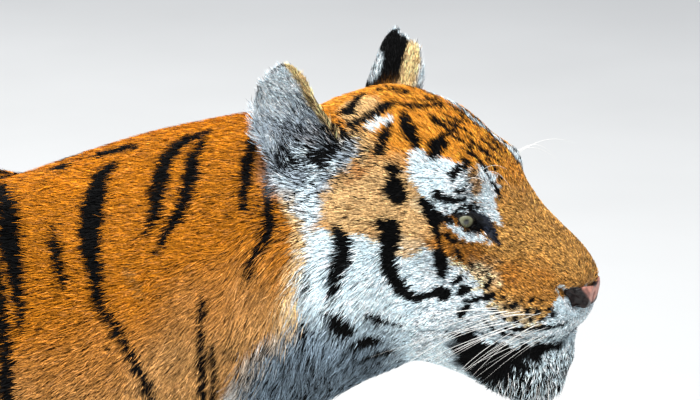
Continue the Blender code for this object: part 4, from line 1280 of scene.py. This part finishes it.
def ear_colours(points, normals, side):
    """Colours of an ear: black behind with a white spot, white within, greyer low down and in its hollows
    as painted shade, and a golden front edge.
    """
    q = to_head(points)
    share, _, across = ear_share(q, side)
    root, tip, facing = EARS[side]
    n = normals @ HEAD_TURN
    opens = smoothstep(n @ unit(facing) + 0.15 * drift(points, 12 * MM, 97), -0.30, 0.05)
    # Low in the ear the white is greyer and bluer and towards the tip whiter: painted shade.
    inner = mixed(np.tile(EAR_WHITE_IN_SHADE, (len(points), 1)), WHITE, 0.7 * smoothstep(share, 0.45, 0.85))
    # The hollows of the ear are darkened: painted shade.
    inner = mixed(inner, SHADOW, 0.50 * ear_hollow(q))
    behind = np.tile(BLACK, (len(points), 1))
    spot = np.exp(-((share - 0.62) / 0.17) ** 2 - ((across - SPOT_SHIFT * side) / 0.022) ** 2)
    behind = mixed(behind, WHITE, smoothstep(spot, 0.35, 0.55))
    behind = mixed(behind, ORANGE, 1 - smoothstep(share, 0.05, 0.2))
    colour = mixed(behind, inner, opens)
    front = across - np.interp(share, *np.array(EAR_EDGE).T * ((1.0,), (MM,)))
    if side < 0:
        return mixed(colour, GOLD, smoothstep(front, -8 * MM, -4 * MM))
    lead = q[:, 0] - (root[0] + share * (tip[0] - root[0]))
    edge = smoothstep(lead, 0.022, 0.027) * (1 - 0.75 * smoothstep(n @ unit(facing), 0.35, 0.7))
    colour = mixed(colour, GOLD, edge)
    return mixed(colour, WHITE, smoothstep(lead, 0.040, 0.046))


# ---------------------------------------------------------------- the coat's lie


def lie_of_coat(points, normals, soft):
    """The way the hair points at each place, along the skin, from weights of the regions."""
    x, angle, _ = on_body(points)
    slope = smoothstep(-angle, -0.9, 0.9)
    sink = -0.12 - slope * np.interp(x, (0.3, 0.75), (0.5, 1.5))
    body = np.stack([-np.ones(len(points)), np.zeros(len(points)), sink], 1)
    leg = np.tile((-0.18, 0.0, -1.0), (len(points), 1))
    paw = np.tile((0.8, 0.0, -0.6), (len(points), 1))
    _, _, tail = on_tail(points)
    q = to_head(points)
    side = np.where(q[:, 1] > 0, 1.0, -1.0)
    low = smoothstep(-q[:, 2], 0.02, 0.16)
    rear = smoothstep(-q[:, 0], 0.03, 0.14)
    muzzle = smoothstep(q[:, 0], -0.02, 0.03)
    fall = -0.2 + 0.4 * muzzle - (1.3 - 0.5 * muzzle) * low - 2.4 * low * rear
    head = np.stack([-1 + 0.5 * low * rear, side * (0.12 + 0.2 * rear), fall], 1)
    top = smoothstep(q[:, 2], 0.03, 0.08)
    head = head * (1 - top[:, None]) + np.array((-1.0, 0, 0.25)) * top[:, None]
    chin = smoothstep(q[:, 0], 0.03, 0.09) * smoothstep(-(q[:, 2] - mouth_height(q[:, 0])), 0.0, 0.02)
    fan = unit(q - (0.07, 0, -0.13)) * (0.6, 0.8, 1) + (0, 0, -0.8)
    head = head * (1 - chin[:, None]) + fan * chin[:, None]
    head = head @ HEAD_TURN.T
    total = body * weight(soft, "neck", "trunk")[:, None]
    total += leg * weight(soft, *LEGS)[:, None]
    total += paw * weight(soft, *FEET)[:, None]
    total += tail * weight(soft, "tail")[:, None]
    total += unit(head) * weight(soft, "head", "jaw")[:, None]
    for one, name in ((1, "ear_left"), (-1, "ear_right")):
        root, tip, facing = EARS[one]
        start = from_head(WHORL * (1, one, 1))
        inside = smoothstep(normals @ HEAD_TURN @ unit(facing), -0.1, 0.3)[:, None]
        fanned = unit(unit(points - start) + 0.6 * (np.array((-1.0, 0, 0.1)) @ HEAD_TURN.T))
        stem = unit(tip - root) @ HEAD_TURN.T
        total += (fanned * inside + stem * (1 - inside)) * weight(soft, name)[:, None]
    total += 0.16 * np.stack([drift(points, 45 * MM, 101 + i) for i in range(3)], 1)
    flat = total - (total * normals).sum(1, keepdims=True) * normals
    return unit(flat)


# ---------------------------------------------------------------- coat measures
# For each region in mm: hair length, blade width, depth of coat, and blades on each square centimetre.
COAT = {
    "head": (11.0, 0.85, 4.5, 40),
    "jaw": (13.0, 0.85, 4.5, 40),
    "ear_left": (7.5, 0.6, 2.0, 78),
    "ear_right": (7.5, 0.6, 2.0, 85),
    "neck": (15.0, 0.9, 7.0, 43),
    "trunk": (23.0, 1.9, 8.0, 9),
    "tail": (16.0, 1.8, 6.0, 12),
    **dict.fromkeys(LEGS[:2], (14.0, 1.75, 5.0, 9)),
    **dict.fromkeys(LEGS[2:], (15.0, 1.75, 5.0, 9)),
    **dict.fromkeys(FEET, (9.0, 1.4, 3.5, 14)),
}


def coat_measures(points, normals, soft):
    """(length, width, depth, blades on a square metre, standing share) at each point, in metres."""
    table = np.array([COAT[name] for name in REGIONS])
    length, width, depth, count = (soft @ table).T
    q = to_head(points)
    on_head = weight(soft, "head", "jaw")
    face = smoothstep(q[:, 0], -0.06, 0.02) * on_head
    fore = smoothstep(q[:, 0], 0.0, 0.08) * smoothstep(q[:, 2] - mouth_height(q[:, 0]), 0.0, 0.01) * on_head
    by_eye = 1 - smoothstep(eye_distance(q), 0.024, 0.040)
    length = length * (1 - 0.4 * face) * (1 - 0.2 * fore) * (1 - 0.35 * by_eye)
    depth = depth * (1 - 0.4 * face) * (1 - 0.2 * fore) * (1 - 0.2 * by_eye)
    count = count * (1 + 0.60 * face)
    ruff = smoothstep(-q[:, 0], 0.05, 0.12) * smoothstep(-q[:, 2], 0.02, 0.12) * on_head
    length = length * (1 + 2.2 * ruff)
    depth = depth * (1 + 1.2 * ruff)
    width = width * (1 + 0.3 * ruff)
    chin = smoothstep(q[:, 0], 0.02, 0.08) * smoothstep(-q[:, 2], 0.135, 0.165) * on_head
    length = length * (1 + 1.0 * chin)
    stand = 0.04 + 0.30 * chin + 0.05 * ruff
    for one, name in ((1, "ear_left"), (-1, "ear_right")):
        facing = normals @ HEAD_TURN @ unit(EARS[one][2])
        share, _, _ = ear_share(q, one)
        inner = smoothstep(facing, 0.1, 0.5) * weight(soft, name)
        length = length * (1 + 1.0 * inner * smoothstep(0.95 - share, 0.0, 0.3))
        stand = stand + 0.10 * inner
    x, angle, _ = on_body(points)
    # The coat is finer where neck meets shoulder, as on the neck.
    fine = smoothstep(x, 0.42, 0.53) * weight(soft, "trunk")
    length = length * (1 - 0.3 * fine)
    width = width * (1 - 0.45 * fine)
    count = count * (1 + 2.1 * fine)
    belly = smoothstep(-angle, 0.7, 1.1) * weight(soft, "trunk", "neck")
    length = length * (1 + 0.6 * belly)
    depth = depth * (1 + 0.5 * belly)
    stand = stand + 0.10 * belly + 0.06 * weight(soft, "tail")
    depth = depth * smoothstep(points[:, 2], -0.002, 0.035)
    return length * MM, width * MM, depth * MM, count * 1e4, stand


# ---------------------------------------------------------------- build

place_camera()
# The skin's arrays, from which the coat and the whiskers grow.
skin_mesh = build_skin()
points, normals, edges = arrays(skin_mesh)
hard, soft = region_weights(points, edges, 12)
length, width, depth, count, stand = coat_measures(points, normals, soft)
depth = averaged(depth[:, None], edges, 6)[:, 0]
points = points - normals * depth[:, None]
points = points - normals * (CLEFT_DEPTH * toe_cleft(points))[:, None]
sculpted = from_head(sculpt_face(to_head(points), normals @ HEAD_TURN))
points = np.where(weight(soft, "head", "jaw")[:, None] > 0.5, sculpted, points)
set_points(skin_mesh, points)
_, normals, _ = arrays(skin_mesh)

# Each leg by its kind and side: the regions that it takes in, and its axis.
LIMB_REGIONS = {
    (kind, one): (f"{kind}_{name}", f"{foot}_{name}")
    for kind, foot in (("foreleg", "forepaw"), ("hindleg", "hindfoot"))
    for name, one in (("left", 1), ("right", -1))
}
LIMBS = {key: limb_axis(points, hard, *names) for key, names in LIMB_REGIONS.items()}


def limb_paint(kind, one):
    """The colouring of one leg, as a function of points and normals."""
    return lambda p, n: limb_colours(p, LIMBS[(kind, one)], one, kind == "hindleg")


def coat_colours(where, out, weights):
    """Colours at points from the markings of each region, blended where regions meet."""
    colours = np.zeros((len(where), 3))
    q = to_head(where)
    rear = np.interp(q[:, 2], *np.array(WHITE_REAR).T * MM)
    head = weight(weights, "head", "jaw")
    neck = head * (1 - smoothstep(q[:, 0] - rear, -9 * MM, -2 * MM))
    parts = [
        (head - neck, lambda p, n: head_colours(p)),
        (weight(weights, "neck", "trunk") + neck, lambda p, n: body_colours(p)),
        (weight(weights, "tail"), lambda p, n: tail_colours(p)),
        (weight(weights, "ear_left"), lambda p, n: ear_colours(p, n, 1)),
        (weight(weights, "ear_right"), lambda p, n: ear_colours(p, n, -1)),
    ]
    parts += [(weight(weights, *names), limb_paint(*key)) for key, names in LIMB_REGIONS.items()]
    total = sum(share for share, _ in parts)
    for share, paints in parts:
        chosen = share > 0.01
        if chosen.any():
            colours[chosen] += paints(where[chosen], out[chosen]) * (share / total)[chosen, None]
    even = ruffled(both_sides(q), 1.5 * MM, 9 * MM, 57)
    fold = smoothstep(-nearest_stroke(even, LAID["fold"]), -2 * MM, 2 * MM)
    return mixed(colours, DEEP_ORANGE, 0.8 * fold * (q[:, 1] < 0))


lie = lie_of_coat(points, normals, soft)
FACES = triangles(skin_mesh)
outer_surface = points + normals * depth[:, None]
LAID = laid_marks(BVHTree.FromPolygons([Vector(p) for p in outer_surface], FACES.tolist()))
SKIN_SHADE_SHARE = 0.8  # the skin's tone as a share of the tone of the hair over it, darker as painted shade under the coat
skin = finish_piece("skin", skin_mesh, skin_material())
paint(skin_mesh, coat_colours(outer_surface, normals, soft) * SKIN_SHADE_SHARE)
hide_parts(*FLESH)


# ---------------------------------------------------------------- the coat

HAIR = hair_material()
THINNER = 1.0  # the share of the blades that are made
PATCH = 0.003  # each blade's size on its map
SWAY, ROLL = 0.16, 0.42  # how far blades turn from the lie, and about their own length, in radians
PALE_SHARE = 0.14  # of the hairs among the orange and white


def grown(chosen, seed):
    """Roots of blades at random places on the chosen triangles, with every measure of the coat there."""
    rng = np.random.default_rng(seed)
    faces = FACES[chosen]
    a, b, c = points[faces].transpose(1, 0, 2)
    area = np.linalg.norm(np.cross(b - a, c - a), axis=1) / 2
    number = rng.poisson(area * count[faces].mean(1) * THINNER)
    owner = np.repeat(np.arange(len(faces)), number)
    u, v = rng.random((2, len(owner)))
    flip = u + v > 1
    u, v = np.where(flip, 1 - u, u), np.where(flip, 1 - v, v)
    share = np.stack([1 - u - v, u, v], 1)[..., None]
    corner = faces[owner]

    def here(values):
        """The skin's values at the roots, weighed by how near each corner is."""
        values = values if values.ndim > 1 else values[:, None]
        return (values[corner] * share).sum(1)

    return {
        "root": here(points),
        "normal": unit(here(normals)),
        "lie": unit(here(lie)),
        "length": here(length)[:, 0],
        "width": here(width)[:, 0],
        "depth": here(depth)[:, 0],
        "stand": here(stand)[:, 0],
        "weights": here(soft),
        "rng": rng,
    }


def blades(hair):
    """Five points for each blade: two at the root, two halfway and one at the tip.

    A blade leaves its root along the lie of the coat, rises to the coat's depth and bends flat,
    and is rolled a little about its own length, so that each catches the light its own way.
    """
    rng = hair["rng"]
    n = len(hair["root"])
    normal, lie_here = hair["normal"], hair["lie"]
    side = unit(np.cross(normal, lie_here))
    ahead = unit(lie_here + side * rng.normal(0, SWAY, (n, 1)))
    side = unit(np.cross(normal, ahead))
    roll = rng.normal(0, ROLL, (n, 1))
    side = side * np.cos(roll) + normal * np.sin(roll)
    long = hair["length"][:, None] * rng.uniform(0.75, 1.2, (n, 1))
    rise = hair["depth"][:, None] * rng.uniform(0.55, 1.1, (n, 1))
    rise = rise + hair["stand"][:, None] * long * rng.uniform(0.0, 1.3, (n, 1))
    wide = hair["width"][:, None] * rng.uniform(0.7, 1.3, (n, 1)) / 2
    sag = side * rng.normal(0, 0.06, (n, 1)) * long
    root = hair["root"] - normal * 0.8 * MM
    middle = hair["root"] + ahead * long * 0.5 + normal * rise * 0.72 + sag
    tip = hair["root"] + ahead * long + normal * rise
    foot, half = side * wide * 0.7, side * wide
    return np.stack([root - foot, root + foot, middle - half, middle + half, tip], 1).reshape(-1, 3)


BLADE_FACES = np.array(((0, 1, 3), (0, 3, 2), (2, 3, 4)))
BLADE_MAP = np.array(((0.0, 0.0), (1.0, 0.0), (0.0, 0.5), (1.0, 0.5), (0.5, 1.0)))
BLADE_SHADE = np.array((0.42, 0.42, 0.92, 0.92, 1.15))  # the tone of each of its points, root to tip


def unwrapped(along, turn, part=0, parts=1):
    """A place on the skin's unwrap: along the piece, and round it within its own strip."""
    low, high = along.min(), along.max()
    u = 0.004 + 0.988 * (along - low) / max(high - low, 1e-9)
    v = (part + 0.01 + 0.97 * np.clip((turn + np.pi) / (2 * np.pi), 0, 1)) / parts
    return np.stack([u, v], 1)


def pepper(where, weights):
    """The share of dark hairs among the pale: on chin, pads and brow, in the ears and low in the ruff; on
    the chin, in the ears' hollows and low in the ruff they are partly painted shade.
    """
    q = to_head(where)
    on_head = weight(weights, "head", "jaw")
    below = mouth_height(q[:, 0]) - q[:, 2]
    # More dark hairs on the chin: partly its own dark hairs, partly painted shade.
    chin = smoothstep(q[:, 0], 0.03, 0.07) * smoothstep(below, 0.010, 0.030) * on_head
    chin *= 0.78 - 0.26 * smoothstep(q[:, 0], 0.08, 0.13)
    ears = weight(weights, "ear_left", "ear_right")
    # Low in the ruff the dark hairs are partly painted shade between the locks.
    ruff = smoothstep(-q[:, 2], 0.10, 0.20) * smoothstep(-q[:, 0], 0.02, 0.08) * on_head
    spots = np.zeros(len(q))
    for centre, size, share in PEPPER_PLACES:
        spots = np.maximum(spots, share * within(both_sides(q), ((centre, size),), 0.5))
    # In the shaded hollows of the ears more hairs are dark: painted shade.
    hollow = 0.85 * ear_hollow(q) * np.maximum(ears, on_head)
    return chin + hollow + 0.05 * ears + 0.26 * ruff + spots * on_head + 0.02


def coat_piece(name, chosen, place, seed):
    """One piece of the coat over the chosen triangles of the skin."""
    hair = grown(chosen, seed)
    n = len(hair["root"])
    # Each blade takes its colour from a little beside its own place, so that marks have hairy edges.
    # On the head, where marks are small, that place is near its tip, which is the part that shows.
    part = 0.45 + 0.33 * weight(hair["weights"], "head", "jaw")[:, None]
    outer = hair["root"] + hair["normal"] * hair["depth"][:, None]
    outer = outer + hair["lie"] * hair["length"][:, None] * part
    outer = outer + hair["rng"].normal(0, 0.085, (n, 3)) * hair["length"][:, None]
    colours = coat_colours(outer, hair["normal"], hair["weights"])
    rng = hair["rng"]
    lightness = colours.mean(1, keepdims=True)
    ears = weight(hair["weights"], "ear_left", "ear_right")[:, None]
    face = weight(hair["weights"], "head")[:, None] * (to_head(hair["root"])[:, :1] > -0.02)
    contrast = 0.46 - 0.24 * smoothstep(lightness, 0.25, 0.6) + 0.50 * ears + 0.42 * face
    locks = 1 + 0.10 * drift(hair["root"], 14 * MM, seed + 5)[:, None]
    light = (0.95 + contrast * rng.uniform(-1, 1, (n, 1))) * locks
    dark = rng.random(n) < pepper(hair["root"], hair["weights"])
    colours[dark] = BLACK * 1.3
    # Among the orange some hairs are pale and some dark; the root is in shade and the tip is bleached.
    pale = (rng.random((n, 1)) < PALE_SHARE) * (colours.max(1, keepdims=True) > 0.08)
    colours = np.clip(colours * light * (1 + 0.3 * pale) + 0.02 * pale, 0, 0.95)
    full = np.clip(colours[:, None] * BLADE_SHADE[None, :, None], 0, 0.97).reshape(-1, 3)
    faces = (BLADE_FACES[None] + 5 * np.arange(n)[:, None, None]).reshape(-1, 3)
    piece = new_piece(name, blades(hair), faces, HAIR)
    paint(piece.data, full)
    spots = np.clip(place(hair)[:, None] + BLADE_MAP[None] * PATCH, 0, 1).reshape(-1, 2)
    layer = piece.data.uv_layers.new(name="OFBake")
    layer.data.foreach_set("uv", spots[faces.ravel()].astype(np.float32).ravel())


def where_head(hair):
    """Along the head, and round its length."""
    q = to_head(hair["root"])
    return unwrapped(q[:, 0], np.arctan2(q[:, 1], q[:, 2] + 0.06))


def where_body(hair):
    """Along the body, and round its axis."""
    x, angle, side = on_body(hair["root"])
    return unwrapped(x, (np.pi / 2 - angle) * side)


def where_tail(hair):
    """Along the tail and round it."""
    along, turn, _ = on_tail(hair["root"])
    return unwrapped(along, turn)


def where_limbs(kind):
    """Up the legs and round each, the left in the lower half of the map."""

    def place(hair):
        """Places of the blades' roots on the map."""
        root = hair["root"]
        found = np.zeros((len(root), 2))
        for part, one in enumerate((1, -1)):
            _, turn = on_limb(root, LIMBS[(kind, one)])
            mine = (root[:, 1] > 0) == (one > 0)
            found[mine] = unwrapped(root[:, 2], turn, part, 2)[mine]
        return found

    return place


def where_ears(hair):
    """Up the ears and round each."""
    q = to_head(hair["root"])
    found = np.zeros((len(q), 2))
    for part, one in enumerate((1, -1)):
        share, ahead, across = ear_share(q, one)
        mine = (q[:, 1] > 0) == (one > 0)
        turn = np.arctan2(across, ahead - 0.01)
        found[mine] = unwrapped(np.clip(share, -0.3, 1.1), turn, part, 2)[mine]
    return found


region = hard[FACES].sum(1).argmax(1)
middle = points[FACES].mean(1)
middle_head = to_head(middle)


def on(*names):
    """The triangles in these regions."""
    return np.isin(region, [REGIONS.index(name) for name in names])


# No hair grows in the mouth line, in and round the eyes or on the nose.
mirrored = both_sides(middle_head)
head_faces = on("head", "jaw") & (np.abs(mouth_height(middle_head[:, 0]) - middle_head[:, 2]) > 2 * MM)
head_faces &= (eye_distance(middle_head) > EYE_RADIUS + 1.2 * MM) & (bare_nose(middle_head) < 0.5)
head_faces &= (eye_liner(mirrored) < 0.5) & (nearest_stroke(mirrored, LAID["tear"]) > -1.0 * MM)
front = middle_head[:, 0] > -0.035
on_left = middle_head[:, 1] > 0
sole = middle[:, 2] < 0.012
shoulder = middle[:, 0] > 0.20
# Each piece of the coat: its name, its triangles, its map, its seed and its slot.
for name, chosen, place, seed, slot in (
    ("coat_face_left", head_faces & front & on_left, where_head, 201, "orange_coat"),
    ("coat_face_right", head_faces & front & ~on_left, where_head, 211, "orange_coat"),
    ("coat_cheek_left", head_faces & ~front & on_left, where_head, 202, "white_coat"),
    ("coat_cheek_right", head_faces & ~front & ~on_left, where_head, 212, "white_coat"),
    ("coat_ears", on("ear_left", "ear_right"), where_ears, 203, "white_coat"),
    ("coat_neck_left", on("neck") & (middle[:, 1] > -0.02), where_body, 204, "orange_coat"),
    ("coat_neck_right", on("neck") & (middle[:, 1] <= -0.02), where_body, 214, "orange_coat"),
    ("coat_shoulder_left", on("trunk") & shoulder & (middle[:, 1] > 0), where_body, 215, "orange_coat"),
    ("coat_shoulder_right", on("trunk") & shoulder & (middle[:, 1] <= 0), where_body, 216, "orange_coat"),
    ("coat_flank_left", on("trunk") & ~shoulder & (middle[:, 1] > 0), where_body, 205, "orange_coat"),
    ("coat_flank_right", on("trunk") & ~shoulder & (middle[:, 1] <= 0), where_body, 206, "orange_coat"),
    ("coat_forelegs", on(*LEGS[:2], *FEET[:2]) & ~sole, where_limbs("foreleg"), 207, "orange_coat"),
    ("coat_hindlegs", on(*LEGS[2:], *FEET[2:]) & ~sole, where_limbs("hindleg"), 208, "orange_coat"),
    ("coat_tail", on("tail"), where_tail, 209, "orange_coat"),
):
    coat_piece(name, chosen, place, seed)


# ---------------------------------------------------------------- eyes, lids and nose

CORNEA_RISE, CORNEA_EDGE = 2.2 * MM, 0.62  # how far it bulges, and its edge in radians from the gaze
RIM_RADIUS = 1.1 * MM


def eyeball(side, name):
    """A ball with a bulging cornea: rings at even angles from the gaze."""
    ball, gaze, nose, up = eye_frame(side)
    rings, around = 56, 64
    out = np.linspace(0, np.pi, rings + 1)
    turn = np.linspace(0, 2 * np.pi, around, endpoint=False)
    radius = EYE_RADIUS + CORNEA_RISE * np.clip(1 - (out / CORNEA_EDGE) ** 2, 0, 1) ** 2
    circle = np.cos(turn)[:, None] * nose + np.sin(turn)[:, None] * up
    along, away = radius * np.cos(out), radius * np.sin(out)
    grid = ball + along[:, None, None] * gaze + away[:, None, None] * circle
    faces = tube_faces(rings + 1, around)
    # The left eye's directions mirror the right's, so its faces are turned round to point outwards.
    if side > 0:
        faces = faces[:, ::-1]
    piece = new_piece(f"eye_{name}_wet", from_head(grid.reshape(-1, 3)), faces, WET_EYE)
    layer = piece.data.uv_layers.new(name="eye_map")
    ring_of = np.repeat(out / np.pi, around)
    turn_of = np.tile(turn / (2 * np.pi), rings + 1)
    us = turn_of[faces]
    us = np.where(us.max(1, keepdims=True) - us > 0.5, us + 1, us)
    layer.data.foreach_set("uv", np.stack([us, ring_of[faces]], -1).astype(np.float32).ravel())
    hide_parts(f"eye_{name}")


def lid_rim(side, name):
    """The bare black edge of the lids: a thin roll carried round their opening."""
    rings, around = 96, 10
    turn = np.linspace(0, 2 * np.pi, rings, endpoint=False)
    across = np.cos(turn)
    upper, lower = lid_edge(across)
    tall = (upper + lower) / 2 + (upper - lower) / 2 * np.sin(turn)
    way = lid_way(across, tall, side)
    path = EYE_BALL * (1, side, 1) + way * (EYE_RADIUS + 0.8 * MM)
    tangent = unit(np.roll(path, -1, 0) - np.roll(path, 1, 0))
    beside = unit(np.cross(way, tangent))
    about = np.linspace(0, 2 * np.pi, around, endpoint=False)[:, None]
    grid = path[:, None] + RIM_RADIUS * (np.cos(about) * way[:, None] + np.sin(about) * beside[:, None])
    faces = tube_faces(rings, around, closed=True)
    piece = new_piece(f"lid_rim_{name}", from_head(grid.reshape(-1, 3)), faces, WET_BLACK)
    paint(piece.data, np.tile(tone("#14110F"), (len(piece.data.vertices), 1)))


def nose_leather():
    """The nose pad: its node's shape on a fine grid, nostrils pressed in and a groove down the middle."""
    bm = bmesh.new()
    bm.from_mesh(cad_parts["nose"].data)
    bmesh.ops.remove_doubles(bm, verts=bm.verts, dist=MERGE)
    draft = bpy.data.meshes.new("draft")
    bm.to_mesh(draft)
    bm.free()
    draft = with_modifiers(draft, ("REMESH", {"mode": "VOXEL", "voxel_size": 1.2 * MM}))
    place, _, links = arrays(draft)
    place = averaged(place, links, 8)
    set_points(draft, place)
    place, out, _ = arrays(draft)
    q = both_sides(to_head(place))
    gap = nearest_stroke(q, NOSTRILS)
    pressed = 5.0 * MM * smoothstep(-gap, -2 * MM, 3 * MM)
    groove = 1.6 * MM * np.exp(-((q[:, 1] / (1.6 * MM)) ** 2)) * smoothstep(-q[:, 2], 0.040, 0.055)
    # Away from the bare leather the pad shrinks towards a place inside the muzzle, under the skin.
    core = from_head(NOSE_CORE)
    hidden = 0.45 * (1 - bare_nose(q))[:, None]
    set_points(draft, place + (core - place) * hidden - out * (pressed + groove)[:, None])
    piece = finish_piece("nose_pad", draft, LEATHER)
    pink = np.tile(tone("#B67D6C"), (len(q), 1))
    pink = mixed(pink, tone("#5B3A36"), 0.6 * smoothstep(drift(place, 9 * MM, 301), 0.1, 0.8))
    front = stroke(q, np.array(PINK) * MM)
    pink = mixed(pink, tone("#050506"), 0.98 * smoothstep(front, -1.5 * MM, 1.5 * MM))
    paint(draft, pink)
    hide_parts("nose")


WET_EYE = eye_material()
WET_BLACK = leather_material("bare_lid_skin", 0.8 * MM, 0.35, 0.15 * MM)
LEATHER = leather_material("nose_leather", 1.1 * MM, 0.38, 0.3 * MM)
for one, name in ((1, "left"), (-1, "right")):
    eyeball(one, name)
    lid_rim(one, name)
nose_leather()


# ---------------------------------------------------------------- whiskers


def hairs(name, roots, ways, lengths, radii, droop, surface):
    """Long stiff hairs: five-sided tubes that taper to a point along a drooping path."""
    rings, around = 12, 5
    t = np.linspace(0, 1, rings)[None, :, None]
    roots, ways = np.asarray(roots, float), unit(np.asarray(ways, float))
    lengths, radii, droop = (np.asarray(v, float)[:, None, None] for v in (lengths, radii, droop))
    path = roots[:, None] + ways[:, None] * lengths * t + np.array((0, 0, -1.0)) * droop * lengths * t**2
    tangent = unit(np.gradient(path, axis=1))
    side = unit(np.cross(tangent, (0.13, 0.21, 1.0)))
    up = np.cross(side, tangent)
    turn = np.linspace(0, 2 * np.pi, around, endpoint=False)
    size = radii * (1 - 0.93 * t)
    circle = np.cos(turn)[:, None] * side[:, :, None] + np.sin(turn)[:, None] * up[:, :, None]
    grid = path[:, :, None] + size[:, :, None] * circle
    first = rings * around * np.arange(len(roots))
    faces = (tube_faces(rings, around)[None] + first[:, None, None]).reshape(-1, 4)
    new_piece(name, grid.reshape(-1, 3), faces, surface)


def on_skin(head_spots):
    """The nearest points of the skin to places in the head's frame."""
    tree = BVHTree.FromPolygons([Vector(p) for p in points], FACES.tolist())
    return np.array([tree.find_nearest(Vector(p))[0] for p in from_head(np.array(head_spots) * MM)])


# Rows of the longer whiskers: start, end and number, in mm in the head's frame.
WHISKER_ROWS = (
    ((112, 54, -70), (60, 56, -84), 9),
    ((122, 50, -80), (62, 53, -97), 11),
    ((128, 42, -88), (66, 47, -107), 11),
)
BROW_BRISTLES = ((-6, 58, 46), (2, 54, 50), (8, 50, 54))
CHIN_BRISTLES = 26


def whiskers():
    """Whiskers in rows on each pad, which sweep back and down, and bristles of brow and chin.

    Each is a spot, a way, a length, a radius and a droop, and the rows grow longer towards the back.
    """
    rng = np.random.default_rng(401)
    made = []
    for side in (1, -1):
        for level, (start, end, number) in zip((0.0, 0.5, 1.0), WHISKER_ROWS):
            for t in np.linspace(0.05, 1, number):
                spot = np.array(start) * (1 - t) + np.array(end) * t + rng.normal(0, 2.0, 3)
                fall = -0.22 - 0.40 * level + rng.normal(0, 0.08)
                way = (-0.62 - 0.30 * t + rng.normal(0, 0.08), side * rng.uniform(0.40, 0.60), fall)
                long = (0.055 + 0.075 * t) * rng.uniform(0.75, 1.25)
                thick = 0.25 * MM + 0.14 * MM * t
                made.append((spot * (1, side, 1), way, long, thick, rng.uniform(0.05, 0.35)))
        for spot in BROW_BRISTLES:
            way = (0.55 + rng.normal(0, 0.12), side * 0.35, 0.72 + rng.normal(0, 0.08))
            long = rng.uniform(0.055, 0.085)
            made.append((np.array(spot) * (1, side, 1), way, long, 0.30 * MM, rng.uniform(0.45, 0.75)))
        for _ in range(CHIN_BRISTLES):
            spot = np.array((rng.uniform(70, 138), rng.uniform(6, 34), rng.uniform(-186, -150)))
            way = (rng.uniform(-0.3, 0.6), side * rng.uniform(0.1, 0.6), -0.9)
            made.append((spot * (1, side, 1), way, rng.uniform(0.018, 0.034), 0.24 * MM, 0.1))
    spots, ways, lengths, radii, droops = zip(*made)
    ways = np.array(ways) @ HEAD_TURN.T
    surface = horn_material("whisker_keratin", "#E6E3DC", 0.35)
    hairs("whiskers", on_skin(spots), ways, lengths, radii, droops, surface)


def lashes():
    """Short dark hairs along each upper lid, which lean out over the eye."""
    rng = np.random.default_rng(431)
    number = 46
    roots, ways = [], []
    for side in (1, -1):
        ball, _, _, up = eye_frame(side)
        across = rng.uniform(-0.85, 0.85, number)
        upper, _ = lid_edge(across)
        way = lid_way(across, upper + rng.uniform(0.05, 0.30, number), side)
        roots.append(ball + way * (EYE_RADIUS + 1.2 * MM))
        ways.append(way + 0.15 * up + np.array((-0.25, 0, 0)) + rng.normal(0, 0.15, (number, 3)))
    roots, ways = from_head(np.concatenate(roots)), np.concatenate(ways) @ HEAD_TURN.T
    lengths = rng.uniform(4.0, 7.5, 2 * number) * MM
    radii = np.full(2 * number, 0.28 * MM)
    droops = rng.uniform(0.3, 0.8, 2 * number)
    surface = horn_material("lash_keratin", "#14110F", 0.5)
    hairs("lashes", roots, ways, lengths, radii, droops, surface)


whiskers()
lashes()

# ---------------------------------------------------------------- floor, light and the end

FLOOR_REACH = 60.0
floor = bpy.data.objects.new("floor", bpy.data.meshes.new("floor"))
corners = [(FLOOR_REACH * x, FLOOR_REACH * y, 0) for x, y in ((-1, -1), (1, -1), (1, 1), (-1, 1))]
floor.data.from_pydata(corners, [], [(0, 1, 2, 3)])
floor.data.materials.append(floor_material())
bpy.context.scene.collection.objects.link(floor)

world = bpy.data.worlds.new("studio")
world.use_nodes = True
sky = world.node_tree.nodes["Background"].inputs
sky["Color"].default_value = (0.86, 0.90, 1.0, 1.0)
sky["Strength"].default_value = 0.52
bpy.context.scene.world = world
# Each light's place, what it faces, its side in metres, its power in watts and its colour.
softbox("key", (1.2, -2.9, 4.9), tuple(HEAD_AT), 2.0, 440, (0.98, 0.99, 1.0))
softbox("fill", (-3.0, -3.0, 2.6), (0, 0, 0.6), 3.0, 60, (0.92, 0.96, 1.0))
softbox("rim", (-1.0, 3.6, 3.8), (0.3, 0, 0.8), 2.4, 120, (1.0, 1.0, 1.0))
bpy.context.scene.view_settings.view_transform = "Standard"
